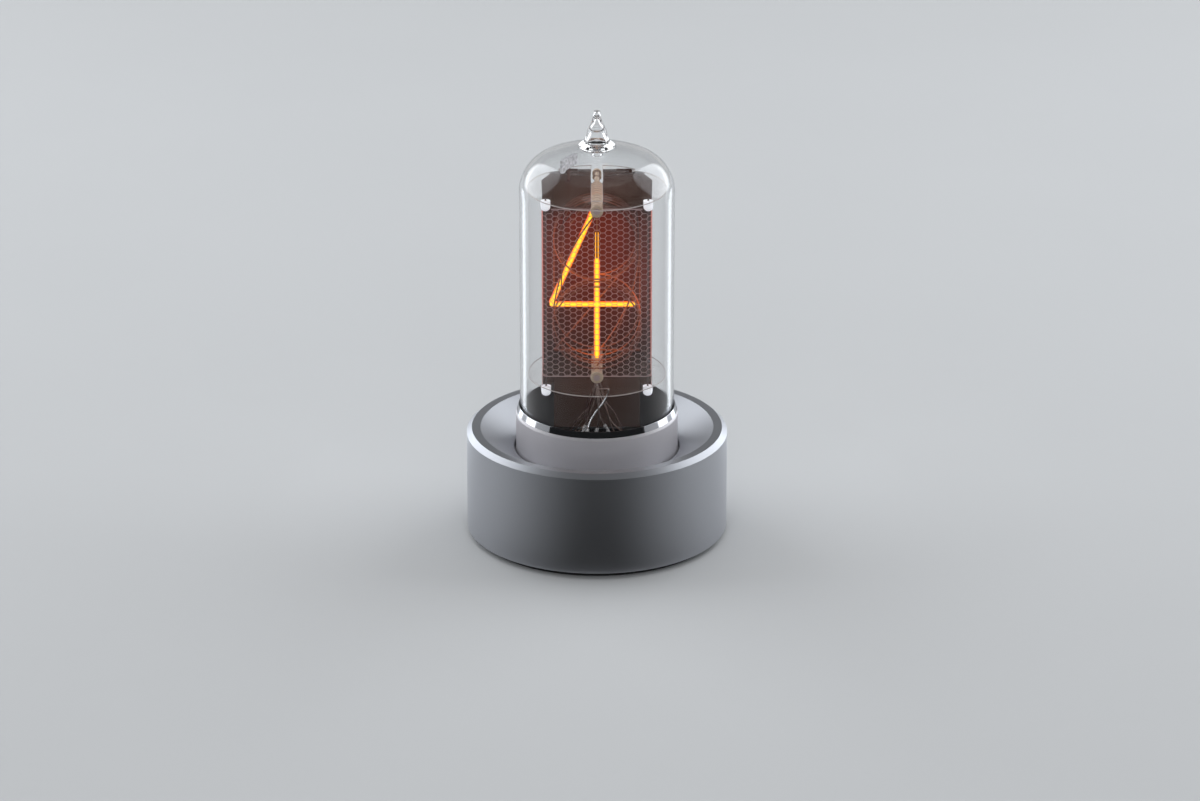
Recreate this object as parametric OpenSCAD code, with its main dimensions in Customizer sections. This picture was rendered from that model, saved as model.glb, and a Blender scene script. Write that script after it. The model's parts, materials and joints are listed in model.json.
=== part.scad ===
// Single-digit nixie tube clock: a plug-in glass tube standing in a turned aluminium base.
// Millimetres, +Z up, the table at Z = 0, the axis of the tube on the Z axis, the front towards -Y.

/* [Base] */
// Width of the turned base outside the collar
base_margin = 16.12; // [15.6:0.02:20]
// Gap between the table and the lower edge of the base
base_lift = 1.95; // [1.4:0.05:2.6]
// Height of the base from its lower edge to its flat rim
base_h = 34.2; // [33.5:0.1:36]
// Width of the bright chamfer round the rim
rim_chamfer_w = 1.7; // [1:0.1:2.2]
// Height of the bright chamfer round the rim
rim_chamfer_h = 1.5; // [1:0.1:2]
// Width of the flat rim inside the chamfer
rim_w = 2.8; // [2:0.1:3.6]
// Depth of the dished top below the rim
dish_drop = 6.65; // [5.6:0.05:7.2]
// Metal left under the lowest part of the dish
roof_t = 2.6; // [2.2:0.1:3]
// Wall of the base
base_wall = 3; // [2.6:0.1:3.2]
// Bottom plate thickness
plate_t = 2.5; // [2:0.1:2.8]
// Width of the black foot ring
foot_w = 3.7; // [3:0.1:4]

/* [Collar] */
// Wall of the collar that the tube stands in
collar_wall = 1.13; // [0.9:0.01:1.5]
// Height of the collar above the flat rim
collar_rise = 8; // [6:0.1:12]
// Shadow gap between the collar and the dished top
collar_gap = 0.65; // [0.4:0.05:1]
// Height of the polished bevel at the mouth of the collar
bevel_h = 2; // [1.2:0.1:2.6]
// Height of the small rounded step under the bevel
bevel_round_h = 0.9; // [0.5:0.1:1.2]
// Clearance between the glass and the collar, all round
collar_clear = 0.25; // [0.15:0.05:0.4]

/* [Tube] */
// Wall of the glass
glass_wall = 1.2; // [0.9:0.1:1.5]
// Distance from the upper mica down to where the dome starts
dome_below = 0.9; // [0:0.1:6]
// Radius of the shoulder of the dome
dome_shoulder_r = 12.5; // [10:0.5:14]
// Radius of the crown of the dome
dome_crown_r = 45; // [40:1:60]
// Height of the sealed tip above the dome
tip_h = 12; // [9:0.5:15]
// Radius of the flare at the foot of the tip
tip_flare_r = 6.1; // [5:0.1:7]
// Number of pins
pin_count = 13; // [10:1:14]
// Radius of the pin circle
pin_circle_r = 13.5; // [12.5:0.1:14.5]
// Radius of one pin
pin_r = 0.6; // [0.5:0.05:0.65]
// Length of the pins below the glass
pin_l = 6; // [5.4:0.1:6.2]

/* [Electrodes] */
// Width of the round numerals
digit_w = 28; // [25:0.5:29]
// Height of the numerals between their eyes
digit_h = 53.1; // [50:0.1:58]
// Gap between the two mica discs and the glass
mica_gap = 1.45; // [0.5:0.05:1.6]
// Width of a mica disc outside the anode mesh, measured sideways
mica_margin = 5; // [4.6:0.05:6]
// Height of the lower mica above the foot of the glass
mica_low = 38.2; // [36:0.1:40]
// Thickness of a mica disc
mica_t = 0.3; // [0.2:0.05:0.5]
// Distance from each mica to the axis of the rod beside it
rod_below = 2.4; // [2.3:0.05:2.6]
// Height of the lower rod above the lower mica
rod_above = 3.9; // [3.6:0.1:4.4]
// Radius of the ceramic spacers
spacer_r = 1.8; // [1.8:0.05:2]
// Radius of the metal rod
rod_r = 0.6; // [0.5:0.05:0.7]
// Distance from the anode mesh to the foremost numeral
stack_gap = 2.3; // [1.8:0.05:2.6]
// Distance from the rearmost numeral to the plate behind the stack
stack_end = 7.07; // [4:0.01:8]
// Width of a numeral's stroke
stroke_w = 0.4; // [0.35:0.05:0.8]
// Thickness of a numeral
stroke_t = 0.3; // [0.2:0.05:0.4]
// Gap between the widest numeral and the sides of the anode mesh
digit_side_gap = 3.35; // [2.6:0.05:4]
// Distance from the edge of the mica discs in to the axis of a corner post
post_rim = 2; // [1.2:0.05:2.5]
// Depth of the shield that hangs under the lower mica
shield_h = 26; // [6:0.5:26.5]
// Spacing of the hexagonal openings
hex_pitch = 2.75; // [2.7:0.05:4]
// Width of the metal between the openings
hex_web = 0.4; // [0.3:0.05:0.6]

/* [Controls] */
// Angle of each push button from the middle of the back
button_angle = 28; // [24:1:29]
// Radius of the push buttons
button_r = 2.4; // [2:0.1:2.6]
// Travel of the push buttons
button_travel = 0.5; // [0.3:0.05:0.6]
// Running clearance round the push buttons
button_clear = 0.08; // [0.05:0.01:0.1]

/* [Hidden] */

$fn = 96;
over = 1;
skin = 0.05;

// Widths that follow from the numerals outwards
loop_r = digit_w / 2;
upper_loop_r = (digit_h - digit_w) / 2;
mesh_half = max(loop_r, upper_loop_r) + digit_side_gap;
mica_r = mesh_half + mica_margin;
glass_in_r = mica_r + mica_gap;
glass_r = glass_in_r + glass_wall;
bore_r = glass_r + collar_clear;
collar_r = bore_r + collar_wall;

// Heights and radii of the base
base_r = collar_r + base_margin;
rim_z = base_lift + base_h;
rim_out_r = base_r - rim_chamfer_w;
rim_in_r = rim_out_r - rim_w;
dish_z = rim_z - dish_drop;
dish_r = collar_r + collar_gap;
roof_z = dish_z - roof_t;
cavity_r = base_r - base_wall;
plate_top = base_lift + plate_t;
rebate_w = 1;
rebate_r = cavity_r + rebate_w;
plate_clear = 0.1;
foot_inset = 3;
foot_out_r = base_r - foot_inset;
foot_in_r = foot_out_r - foot_w;
foot_groove = 0.6;
edge_round = 0.4;

// Pillars that clamp plate, collar and shell
pillar_n = 4;
pillar_r = 2.6;
pillar_gap = 1;
pillar_turn = 45;
stud_r = 1.5;
stud_l = 6.4;
hole_clear = 0.1;
screw_head_r = 2.7;
screw_head_h = 1.6;
screw_l = 8;
screw_slot_w = 0.8;
screw_slot_d = 0.7;

// Collar
mouth_z = rim_z + collar_rise;
mouth_land = 0.15;
bevel_step_share = 0.25;
flange_gap = 2.1;
flange_r = cavity_r - flange_gap;
flange_t = 2.4;
flange_z = roof_z - flange_t;
skirt_t = 3.02;
skirt_r = collar_r + skirt_t;
pillar_circle_r = skirt_r + pillar_r + pillar_gap;
gasket_r = 0.85;
gasket_squeeze = 0.05;
gasket_in = 2.4;

// Boards
board_t = 1.6;
board_gap = 2.05;
main_z = plate_top + board_gap;
main_top = main_z + board_t;
main_gap = 0.5;
main_r = cavity_r - main_gap;
link_h = 3.1;
socket_z = main_top + link_h;
socket_top = socket_z + board_t;
socket_board_r = skirt_r - plate_clear;
socket_screw_n = 4;
socket_screw_inset = 2;
socket_screw_circle_r = skirt_r - socket_screw_inset;
socket_screw_r = 0.9;
socket_screw_l = 6;
socket_screw_head_r = 1.5;
socket_screw_head_h = 1.1;
socket_turn = 22.5;

// Socket and pins
socket_rim = 4.5;
socket_r = pin_circle_r + socket_rim;
socket_h = 4;
seat_gap = 0.2;
foot_z = socket_top + socket_h + seat_gap;
contact_r = 1.05;
contact_clear = 0.08;
contact_tail = 0.3;
contact_lip = 0.3;
key_hole_r = 4;

// Spacers and screws under the main board
spacer_ring_r = 2;
spacer_circle_r = pillar_circle_r;
spacer_angles = [15, 165, 250, 290];
board_screw_r = 0.95;
board_screw_head_r = 1.7;
board_screw_head_h = 1.2;
board_screw_l = 4.4;

// Power inlet
inlet_w = 8.94;
inlet_h = 3.2;
inlet_l = 7.3;
inlet_wall = 0.3;
inlet_recess = 0.8;
inlet_front = base_r - inlet_recess;
inlet_z = main_top + inlet_h / 2;
inlet_slot_clear = 0.3;
tongue_w = 6.7;
tongue_t = 0.7;
tongue_back = 1;
tongue_short = 0.6;
pocket_w = 13;
pocket_top = main_top + inlet_h + over;
pocket_wall = 2.1;
pocket_y = base_r - pocket_wall;
tab_w = pocket_w - over;
tab_y = pocket_y - plate_clear * 2;

// Push buttons and their switches, measured along the button's own axis
button_rise = 1.75;
button_sink = 0.15;
button_flange_gap = 0.3;
button_z = main_top + button_rise;
button_face = base_r - button_sink;
button_edge = 0.3;
button_flange_r = 3.3;
button_flange_t = 0.8;
button_flange_out = cavity_r - button_flange_gap;
button_stem_r = 1.4;
switch_w = 6.2;
switch_d = 3.6;
switch_h = 3.5;
switch_inset = 3.3;
switch_front = cavity_r - switch_inset;
plunger_w = 2.8;
plunger_h = 1.4;
plunger_out = 0.8;
plunger_in = 1.2;
plunger_front = switch_front + plunger_out;
notch_half = 4.2;
notch_inset = 2.4;
notch_r = cavity_r - notch_inset;

// Parts on the main board
inductor_size = [6.6, 6.6, 4.5];
inductor_round = 1;
inductor_pad = 0.4;
inductor_gap = 0.5;
inductor_at = [-skirt_r - inductor_gap - inductor_size[0] / 2, 0];
cap_r = 3.15;
cap_l = 12.5;
cap_gap = 1.05;
cap_shift = 1.5;
cap_at = [skirt_r + cap_gap + cap_r, -cap_shift];
cap_groove = 0.35;
cap_groove_w = 0.9;
hv_switch_size = [6.4, 5.8, 2.2];
hv_switch_at = [-19, -16];
hv_tab = 1.2;
chip_size = [7.4, 17.4, 2.2];
chip_x = 7.2;
chip_leg = [1.3, 0.4, 0.25];
chip_leg_pitch = 1.27;
chip_leg_n = 12;
controller_size = [6.8, 6.8, 0.95];
controller_at = [0, -22];
crystal_size = [3.2, 1.5, 0.8];
crystal_at = [8, -22];
cell_r = 6.25;
cell_t = 2;
cell_rise = 0.5;
cell_in = 10;
cell_turn = -38;
cell_at = (pillar_circle_r - cell_in) * [cos(cell_turn), sin(cell_turn)];
cell_can_share = 0.85;
cell_cap_share = 0.84;
holder_wall = 0.6;
holder_lip = 0.4;
holder_notch = 5;
link_size = [17.8, 5];
link_y = 21.5;
link_pin = 0.64;
link_pin_pitch = 2.54;
link_pin_n = 7;

// Mica discs and rods
eye_r = 1.7;
mica_span = digit_h + 2 * eye_r + rod_below + rod_above + mica_t;
mica_low_z = foot_z + mica_low;
mica_high_z = mica_low_z + mica_span;
lower_z = mica_low_z + mica_t + rod_above;
upper_z = mica_high_z - rod_below;

// Glass
foot_disc_t = 3;
foot_edge = 0.8;
dome_z = mica_high_z - dome_below;
shoulder_x = glass_r - dome_shoulder_r;
crown_drop = sqrt(pow(dome_crown_r - dome_shoulder_r, 2) - pow(shoulder_x, 2));
crown_z = dome_z - crown_drop;
shoulder_turn = atan2(crown_drop, shoulder_x);
dome_top = crown_z + dome_crown_r;
arc_steps = 16;
tip_bore_r = 1.1;
void_top_share = 0.5;
void_neck_share = 0.35;
tip_z = dome_top;
neck_r = 1.5;
neck_l = 3;

// Electrode frame
mica_slot_w = 3.6;
post_r = 0.25;
post_in = 1;
mesh_t = 0.25;
mesh_bend_r = 2;
post_x = mesh_half - mesh_t - post_in;
post_y = -sqrt(pow(mica_r - post_rim, 2) - pow(post_x, 2));
mesh_front = mesh_bend_r - post_y;
stack_front = mesh_front - stack_gap;
mica_slot_gap = 1.2;
mica_slot_front = stack_front + mica_slot_gap;
bead_r = 1.55;
bead_l = 3.2;
bead_clear = 0.3;
post_over = 0.5;
mesh_depth = 10;
mesh_border = 1;
mesh_below = 0.3;
mesh_above = 0.35;
mesh_low = lower_z - mesh_below;
mesh_high = upper_z + mesh_above;
mesh_h = mesh_high - mesh_low;
mesh_tab_w = 1;
back_t = 0.3;
back_narrow = 2.95;
back_half = mesh_half - back_narrow;
back_rim = 0.05;
back_y = sqrt(pow(mica_r - back_rim, 2) - pow(back_half + back_t, 2)) - back_t;
shield_low = mica_low_z - shield_h;
shield_wing_h = 10;
wing_out = 0.25;
wing_x = mesh_half + wing_out;
wing_l = 8.5;
back_tab_w = 5;
back_tab_in = 5.6;
back_tab_x = back_half - back_tab_in;
rod_clear = 0.05;
rod_ahead = 1.5;
rod_front = mesh_front + rod_ahead;
rod_past = 0.5;
rod_back = mica_r + rod_past;
rod_head_r = 1;
rod_head_t = 0.4;
end_disc_t = rod_front - mesh_front - skin;
bush_r = 1.5;
bush_l = 1.2;
bush_front = rod_back - rod_head_t - bush_l;
sleeve_r = 0.85;
end_disc_out = 0.25;
end_disc_r = spacer_r + end_disc_out;
back_notch_r = 2;
washers_per_gap = 2;
washer_gap = 0.05;
eye_tab = 0.7;
eye_tab_w = 0.9;

// Numerals, front to back in the stack
stack_order = [6, 7, 5, 8, 4, 3, 9, 2, 0, 1];
stack_n = len(stack_order);
stack_pitch = (stack_front + back_y - stack_end) / (stack_n - 1);
digit_low = lower_z + eye_r;
four_bar_share = 0.35;
four_bar = digit_h * four_bar_share;
four_left_share = 1.072;
four_left = loop_r * four_left_share;
four_right_share = 0.878;
four_right = loop_r * four_right_share;
four_stem_share = 0.644;
four_stem = digit_h * four_stem_share;
four_strap_w = 0.35;
one_flag_share = 0.64;
one_flag_x = loop_r * one_flag_share;
one_drop_share = 0.226;
one_flag_drop = digit_h * one_drop_share;
seven_left_share = 0.93;
seven_left = loop_r * seven_left_share;
seven_right_share = 0.893;
seven_right = loop_r * seven_right_share;
seven_bow_share = 1.5;
seven_bow_r = digit_h * seven_bow_share;
five_x_share = 0.75;
five_x = loop_r * five_x_share;
five_right_share = 0.786;
five_right = loop_r * five_right_share;
open_loop_a = 145;
two_start_a = 165;
join_a = 4;
join_w = 0.06;
join_l = 0.4;
tail_r = (pow(loop_r, 2) + pow(digit_h - loop_r, 2)) / (2 * loop_r);
tail_a = asin((digit_h - loop_r) / tail_r);

// Leads and getter
lead_r = 0.3;
lead_knee_r = 0.38;
lead_stub = 1;
lead_bend = 7;
lead_bend_z = mica_low_z - lead_bend;
pin_top = 1.2;
anode_pins = [2, 4];
getter_at = [-8.95, 6.5];
getter_l = 10.4;
getter_w = 1;
getter_t = 3.7;
getter_groove = 0.5;
getter_post_h = 4.1;
getter_tilt = 26.2;
getter_post_w = 0.9;
getter_post_t = 0.3;

// Colours
aluminium = [0.72, 0.74, 0.78];
brass = [0.82, 0.66, 0.35];
steel = [0.6, 0.6, 0.62];
black = [0.08, 0.08, 0.09];
board_green = [0.08, 0.3, 0.18];
glass_tint = [0.8, 0.88, 0.92, 0.3];
white = [0.93, 0.93, 0.9];
ceramic_beige = [0.66, 0.55, 0.45];
nickel = [0.55, 0.5, 0.46];

// Helpers

function polar(r, a) = [r * cos(a), r * sin(a)];

function arc_points(centre, r, a0, a1, steps) =
    [for (i = [0 : steps]) centre + polar(r, a0 + (a1 - a0) * i / steps)];

function slot_of(n) = search(n, stack_order)[0];

function slot_y(n) = -stack_front + slot_of(n) * stack_pitch;

module tube_ring(r_out, r_in, h) {
    difference() {
        cylinder(r = r_out, h = h);
        translate([0, 0, -over]) cylinder(r = r_in, h = h + 2 * over);
    }
}

module ring_of(n, r, turn) {
    for (i = [0 : n - 1]) rotate(turn + i * 360 / n) translate([r, 0, 0]) children();
}

// A cylinder along +Y from y0 to y1, at height z
module along_y(r, y0, y1, z) {
    translate([0, y0, z]) rotate([-90, 0, 0]) cylinder(r = r, h = y1 - y0);
}

module wire_between(a, b, r) {
    d = b - a;
    l = norm(d);
    translate(a) rotate([0, acos(d[2] / l), atan2(d[1], d[0])]) cylinder(r = r, h = l, $fn = 24);
}

module box_on(size, at, z) {
    translate([at[0] - size[0] / 2, at[1] - size[1] / 2, z]) cube(size);
}

// Turns the +X axis to the button on one side of the back, at the button's height
module at_button(side) {
    translate([0, 0, button_z]) rotate(90 - side * button_angle) children();
}

module along_x(r, x0, x1) {
    translate([x0, 0, 0]) rotate([0, 90, 0]) cylinder(r = r, h = x1 - x0, $fn = 64);
}

// Base

module shell_profile() {
    polygon([
        [rebate_r, base_lift],
        [base_r - edge_round, base_lift],
        [base_r, base_lift + edge_round],
        [base_r, rim_z - rim_chamfer_h],
        [rim_out_r, rim_z],
        [rim_in_r, rim_z],
        [dish_r, dish_z],
        [dish_r, roof_z],
        [cavity_r, roof_z],
        [cavity_r, plate_top],
        [rebate_r, plate_top]]);
}

module inlet_slot(grow) {
    half = (inlet_w - inlet_h) / 2;
    for (s = [-1, 1]) translate([s * half, 0, 0]) circle(r = inlet_h / 2 + grow);
    square([2 * half, inlet_h + 2 * grow], center = true);
}

module base_shell() color(aluminium) difference() {
    rotate_extrude($fn = 180) shell_profile();
    translate([-pocket_w / 2, 0, plate_top]) cube([pocket_w, pocket_y, pocket_top - plate_top]);
    translate([0, base_r + over, inlet_z]) rotate([90, 0, 0])
        linear_extrude(base_r / 2) inlet_slot(inlet_slot_clear);
    for (s = [-1, 1]) at_button(s) along_x(button_r + button_clear, cavity_r - base_wall, base_r + over);
    ring_of(pillar_n, pillar_circle_r, pillar_turn)
        translate([0, 0, roof_z - over]) cylinder(r = stud_r + skin, h = over + stud_l - flange_t + hole_clear, $fn = 48);
}

module collar_profile() {
    step = bevel_step_share * (collar_r - bore_r);
    polygon([
        [bore_r, socket_top],
        [skirt_r, socket_top],
        [skirt_r, flange_z],
        [flange_r, flange_z],
        [flange_r, roof_z],
        [collar_r, roof_z],
        [collar_r, mouth_z - bevel_h - bevel_round_h],
        [collar_r - step, mouth_z - bevel_h],
        [bore_r + mouth_land, mouth_z],
        [bore_r, mouth_z]]);
}

gasket_z = [foot_z + gasket_in, flange_z];

module tube_collar() color(aluminium) difference() {
    rotate_extrude($fn = 180) collar_profile();
    for (z = gasket_z) translate([0, 0, z]) rotate_extrude($fn = 120)
        translate([bore_r + gasket_r - collar_clear + gasket_squeeze, 0]) circle(r = gasket_r, $fn = 24);
    ring_of(pillar_n, pillar_circle_r, pillar_turn)
        translate([0, 0, flange_z - over]) cylinder(r = stud_r + hole_clear, h = flange_t + 2 * over, $fn = 48);
    ring_of(socket_screw_n, socket_screw_circle_r, socket_turn)
        translate([0, 0, socket_top - over])
            cylinder(r = socket_screw_r + skin, h = over + socket_screw_l - board_t + hole_clear, $fn = 32);
}

module collar_gaskets() color(black) for (z = gasket_z) translate([0, 0, z]) rotate_extrude($fn = 120)
    translate([glass_r + gasket_r + gasket_squeeze, 0]) circle(r = gasket_r - skin / 2, $fn = 24);

module bottom_plate() color(aluminium) difference() {
    translate([0, 0, base_lift]) cylinder(r = rebate_r - plate_clear, h = plate_t, $fn = 180);
    translate([0, 0, base_lift - over]) tube_ring(foot_out_r, foot_in_r, over + foot_groove);
    ring_of(pillar_n, pillar_circle_r, pillar_turn) {
        translate([0, 0, base_lift - over]) cylinder(r = stud_r + hole_clear, h = plate_t + 2 * over, $fn = 48);
        translate([0, 0, base_lift]) cylinder(r1 = screw_head_r, r2 = stud_r, h = screw_head_h, $fn = 48);
    }
    for (a = spacer_angles) rotate(a) translate([spacer_circle_r, 0, main_top - board_screw_l - skin])
        cylinder(r = board_screw_r + skin, h = board_screw_l, $fn = 32);
}

module foot_ring() color(black) tube_ring(foot_out_r, foot_in_r, base_lift + foot_groove);

module pillars() color(brass) ring_of(pillar_n, pillar_circle_r, pillar_turn) difference() {
    union() {
        translate([0, 0, plate_top]) cylinder(r = pillar_r, h = flange_z - plate_top, $fn = 48);
        translate([0, 0, flange_z]) cylinder(r = stud_r, h = stud_l, $fn = 48);
    }
    translate([0, 0, plate_top - over]) cylinder(r = stud_r + skin, h = over + screw_l, $fn = 48);
}

module plate_screws() color(steel) ring_of(pillar_n, pillar_circle_r, pillar_turn) difference() {
    union() {
        translate([0, 0, base_lift]) cylinder(r1 = screw_head_r, r2 = stud_r, h = screw_head_h, $fn = 48);
        translate([0, 0, base_lift]) cylinder(r = stud_r, h = screw_l, $fn = 48);
    }
    for (a = [0, 90]) rotate(a) translate([-stud_r, -screw_slot_w / 2, base_lift - over])
        cube([2 * stud_r, screw_slot_w, over + screw_slot_d]);
}

// Boards

module main_board() color(board_green) difference() {
    union() {
        translate([0, 0, main_z]) cylinder(r = main_r, h = board_t, $fn = 120);
        translate([-tab_w / 2, 0, main_z]) cube([tab_w, tab_y, board_t]);
    }
    ring_of(pillar_n, pillar_circle_r, pillar_turn)
        translate([0, 0, main_z - over]) cylinder(r = pillar_r + hole_clear * 3, h = board_t + 2 * over, $fn = 48);
    for (a = spacer_angles) rotate(a) translate([spacer_circle_r, 0, main_z - over])
        cylinder(r = board_screw_r + hole_clear, h = board_t + 2 * over, $fn = 32);
    for (s = [-1, 1]) at_button(s) translate([notch_r, -notch_half, -button_z])
        cube([base_r, 2 * notch_half, button_z + main_top]);
    link_pins(skin, main_z - over, board_t + 2 * over);
}

module board_spacers() color(brass) for (a = spacer_angles) rotate(a) translate([spacer_circle_r, 0, plate_top])
    tube_ring(spacer_ring_r, board_screw_r + skin, board_gap, $fn = 48);

module board_screws() color(steel) for (a = spacer_angles) rotate(a) translate([spacer_circle_r, 0, 0]) {
    translate([0, 0, main_top]) difference() {
        cylinder(r = board_screw_head_r, h = board_screw_head_h, $fn = 32);
        translate([-board_screw_r, -screw_slot_w / 2, board_screw_head_h - screw_slot_d])
            cube([2 * board_screw_r, screw_slot_w, screw_slot_d + over]);
    }
    translate([0, 0, main_top - board_screw_l]) cylinder(r = board_screw_r, h = board_screw_l, $fn = 32);
}

module socket_board() color(board_green) difference() {
    translate([0, 0, socket_z]) cylinder(r = socket_board_r, h = board_t, $fn = 120);
    ring_of(pin_count, pin_circle_r, 0)
        translate([0, 0, socket_z - over]) cylinder(r = contact_r + skin, h = board_t + 2 * over, $fn = 32);
    ring_of(socket_screw_n, socket_screw_circle_r, socket_turn)
        translate([0, 0, socket_z - over]) cylinder(r = socket_screw_r + hole_clear, h = board_t + 2 * over, $fn = 32);
    link_pins(skin, socket_z - over, board_t + 2 * over);
}

module socket_body() color(white) difference() {
    translate([0, 0, socket_top]) cylinder(r = socket_r, h = socket_h);
    ring_of(pin_count, pin_circle_r, 0) translate([0, 0, socket_top - over])
        cylinder(r = contact_r + skin, h = socket_h + 2 * over, $fn = 32);
    translate([0, 0, socket_top - over]) cylinder(r = key_hole_r, h = socket_h + 2 * over);
}

module socket_contacts() color(brass) ring_of(pin_count, pin_circle_r, 0)
    translate([0, 0, socket_z - contact_tail])
        tube_ring(contact_r, pin_r + contact_clear, contact_tail + board_t + socket_h - contact_lip, $fn = 32);

module socket_screws() color(steel) ring_of(socket_screw_n, socket_screw_circle_r, socket_turn) {
    translate([0, 0, socket_z]) cylinder(r = socket_screw_r, h = socket_screw_l, $fn = 32);
    translate([0, 0, socket_z - socket_screw_head_h]) difference() {
        cylinder(r = socket_screw_head_r, h = socket_screw_head_h, $fn = 32);
        translate([-socket_screw_r, -screw_slot_w / 2, -over])
            cube([2 * socket_screw_r, screw_slot_w, over + screw_slot_d]);
    }
}

module link_pins(grow, z, h) {
    for (i = [0 : link_pin_n - 1], s = [-1, 1])
        box_on([link_pin + 2 * grow, link_pin + 2 * grow, h],
            [(i - (link_pin_n - 1) / 2) * link_pin_pitch, link_y + s * link_pin_pitch / 2], z);
}

module board_link() {
    color(black) box_on([link_size[0], link_size[1], link_h], [0, link_y], main_top);
    color(brass) link_pins(0, main_z - contact_tail / 2, link_h + 2 * board_t + contact_tail);
}

module inlet_shell() color(steel) translate([0, inlet_front, inlet_z]) rotate([90, 0, 0]) difference() {
    linear_extrude(inlet_l) inlet_slot(0);
    translate([0, 0, -over]) linear_extrude(inlet_l - inlet_wall + over) inlet_slot(-inlet_wall);
}

module inlet_tongue() color(black) {
    translate([-tongue_w / 2, inlet_front - inlet_l + inlet_wall, inlet_z - tongue_t / 2])
        cube([tongue_w, inlet_l - inlet_wall - tongue_short, tongue_t]);
    translate([0, inlet_front - inlet_l + inlet_wall + tongue_back, inlet_z]) rotate([90, 0, 0])
        linear_extrude(tongue_back) inlet_slot(-inlet_wall - skin);
}

module boost_inductor() {
    color(steel) box_on([inductor_size[0], inductor_size[1], inductor_pad], inductor_at, main_top);
    color(black) translate([inductor_at[0], inductor_at[1], main_top + inductor_pad])
        linear_extrude(inductor_size[2] - inductor_pad) {
            square([inductor_size[0], inductor_size[1] - 2 * inductor_round], center = true);
            square([inductor_size[0] - 2 * inductor_round, inductor_size[1]], center = true);
            for (x = [-1, 1], y = [-1, 1])
                translate([x * (inductor_size[0] / 2 - inductor_round), y * (inductor_size[1] / 2 - inductor_round)])
                    circle(r = inductor_round, $fn = 32);
        }
}

module hv_capacitor() color(black) translate([cap_at[0], cap_at[1] - cap_l / 2, main_top + cap_r])
    rotate([-90, 0, 0]) rotate_extrude($fn = 48) polygon([
        [0, 0],
        [cap_r, 0],
        [cap_r, cap_l - 3 * cap_groove_w],
        [cap_r - cap_groove, cap_l - 2.5 * cap_groove_w],
        [cap_r, cap_l - 2 * cap_groove_w],
        [cap_r, cap_l - cap_groove],
        [cap_r - cap_groove, cap_l],
        [0, cap_l]]);

module hv_switch() {
    color(black) box_on(hv_switch_size, hv_switch_at, main_top);
    color(steel) box_on([hv_switch_size[0] - hv_tab, hv_switch_size[1] + 2 * hv_tab, hv_tab / 2], hv_switch_at, main_top);
}

module driver_chips() for (s = [-1, 1]) {
    color(black) box_on(chip_size, [s * chip_x, 0], main_top + chip_leg[2]);
    color(steel) for (i = [0 : chip_leg_n - 1], t = [-1, 1])
        box_on(chip_leg, [s * chip_x + t * (chip_size[0] + chip_leg[0]) / 2 - t * skin,
            (i - (chip_leg_n - 1) / 2) * chip_leg_pitch], main_top + chip_leg[2]);
    color(steel) for (i = [0 : chip_leg_n - 1], t = [-1, 1])
        box_on([chip_leg[0] / 2, chip_leg[1], chip_leg[2]], [s * chip_x + t * (chip_size[0] / 2 + chip_leg[0] * 3 / 4 - skin),
            (i - (chip_leg_n - 1) / 2) * chip_leg_pitch], main_top);
}

module controller_chip() color(black) box_on(controller_size, controller_at, main_top);

module clock_crystal() color(steel) box_on(crystal_size, crystal_at, main_top);

module cell_holder() color(black) translate([cell_at[0], cell_at[1], main_top]) rotate(cell_turn) difference() {
    cylinder(r = cell_r + holder_wall, h = cell_rise + cell_t - holder_lip);
    translate([0, 0, cell_rise]) cylinder(r = cell_r + skin, h = cell_t + over);
    for (s = [0, 180]) rotate(s) translate([0, -holder_notch / 2, cell_rise]) cube([2 * cell_r, holder_notch, cell_t]);
}

module backup_cell() color(steel) translate([cell_at[0], cell_at[1], main_top + cell_rise]) {
    cylinder(r = cell_r, h = cell_t * cell_can_share);
    cylinder(r = cell_r * cell_cap_share, h = cell_t);
}

// Switches and buttons

module switch_bodies() color(black) for (s = [-1, 1]) at_button(s) difference() {
    translate([switch_front - switch_d, -switch_w / 2, main_top - button_z]) cube([switch_d, switch_w, switch_h]);
    translate([switch_front - plunger_in - button_travel - hole_clear, -plunger_w / 2 - button_clear,
            -plunger_h / 2 - button_clear])
        cube([switch_d, plunger_w + 2 * button_clear, plunger_h + 2 * button_clear]);
}

module button_cap(side) color(steel) at_button(side) {
    along_x(button_r, button_flange_out - skin, button_face - button_edge);
    translate([button_face - button_edge, 0, 0]) rotate([0, 90, 0])
        cylinder(r1 = button_r, r2 = button_r - button_edge, h = button_edge, $fn = 64);
    along_x(button_flange_r, button_flange_out - button_flange_t, button_flange_out);
    along_x(button_stem_r, plunger_front, button_flange_out);
}

module switch_plunger(side) color(white) at_button(side)
    translate([switch_front - plunger_in, -plunger_w / 2, -plunger_h / 2])
        cube([plunger_in + plunger_out, plunger_w, plunger_h]);

module set_button_cap() button_cap(-1);

module set_switch_plunger() switch_plunger(-1);

module mode_button_cap() button_cap(1);

module mode_switch_plunger() switch_plunger(1);

// Glass

function dome_outline(inset) = concat(
    arc_points([shoulder_x, dome_z], dome_shoulder_r - inset, 0, shoulder_turn, arc_steps),
    arc_points([0, crown_z], dome_crown_r - inset, shoulder_turn, 90, arc_steps));

module envelope_half(inset, low) {
    polygon(concat([[0, low], [glass_r - inset, low]], dome_outline(inset)));
}

module glass_envelope() color(glass_tint) rotate_extrude($fn = 180) difference() {
    union() {
        envelope_half(0, foot_z + foot_edge);
        translate([0, foot_z]) square([glass_r - foot_edge, foot_edge]);
        translate([glass_r - foot_edge, foot_z + foot_edge]) circle(r = foot_edge, $fn = 24);
    }
    envelope_half(glass_wall, foot_z - over);
    translate([0, dome_top - glass_wall - over]) square([tip_bore_r, glass_wall + 2 * over]);
}

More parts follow.
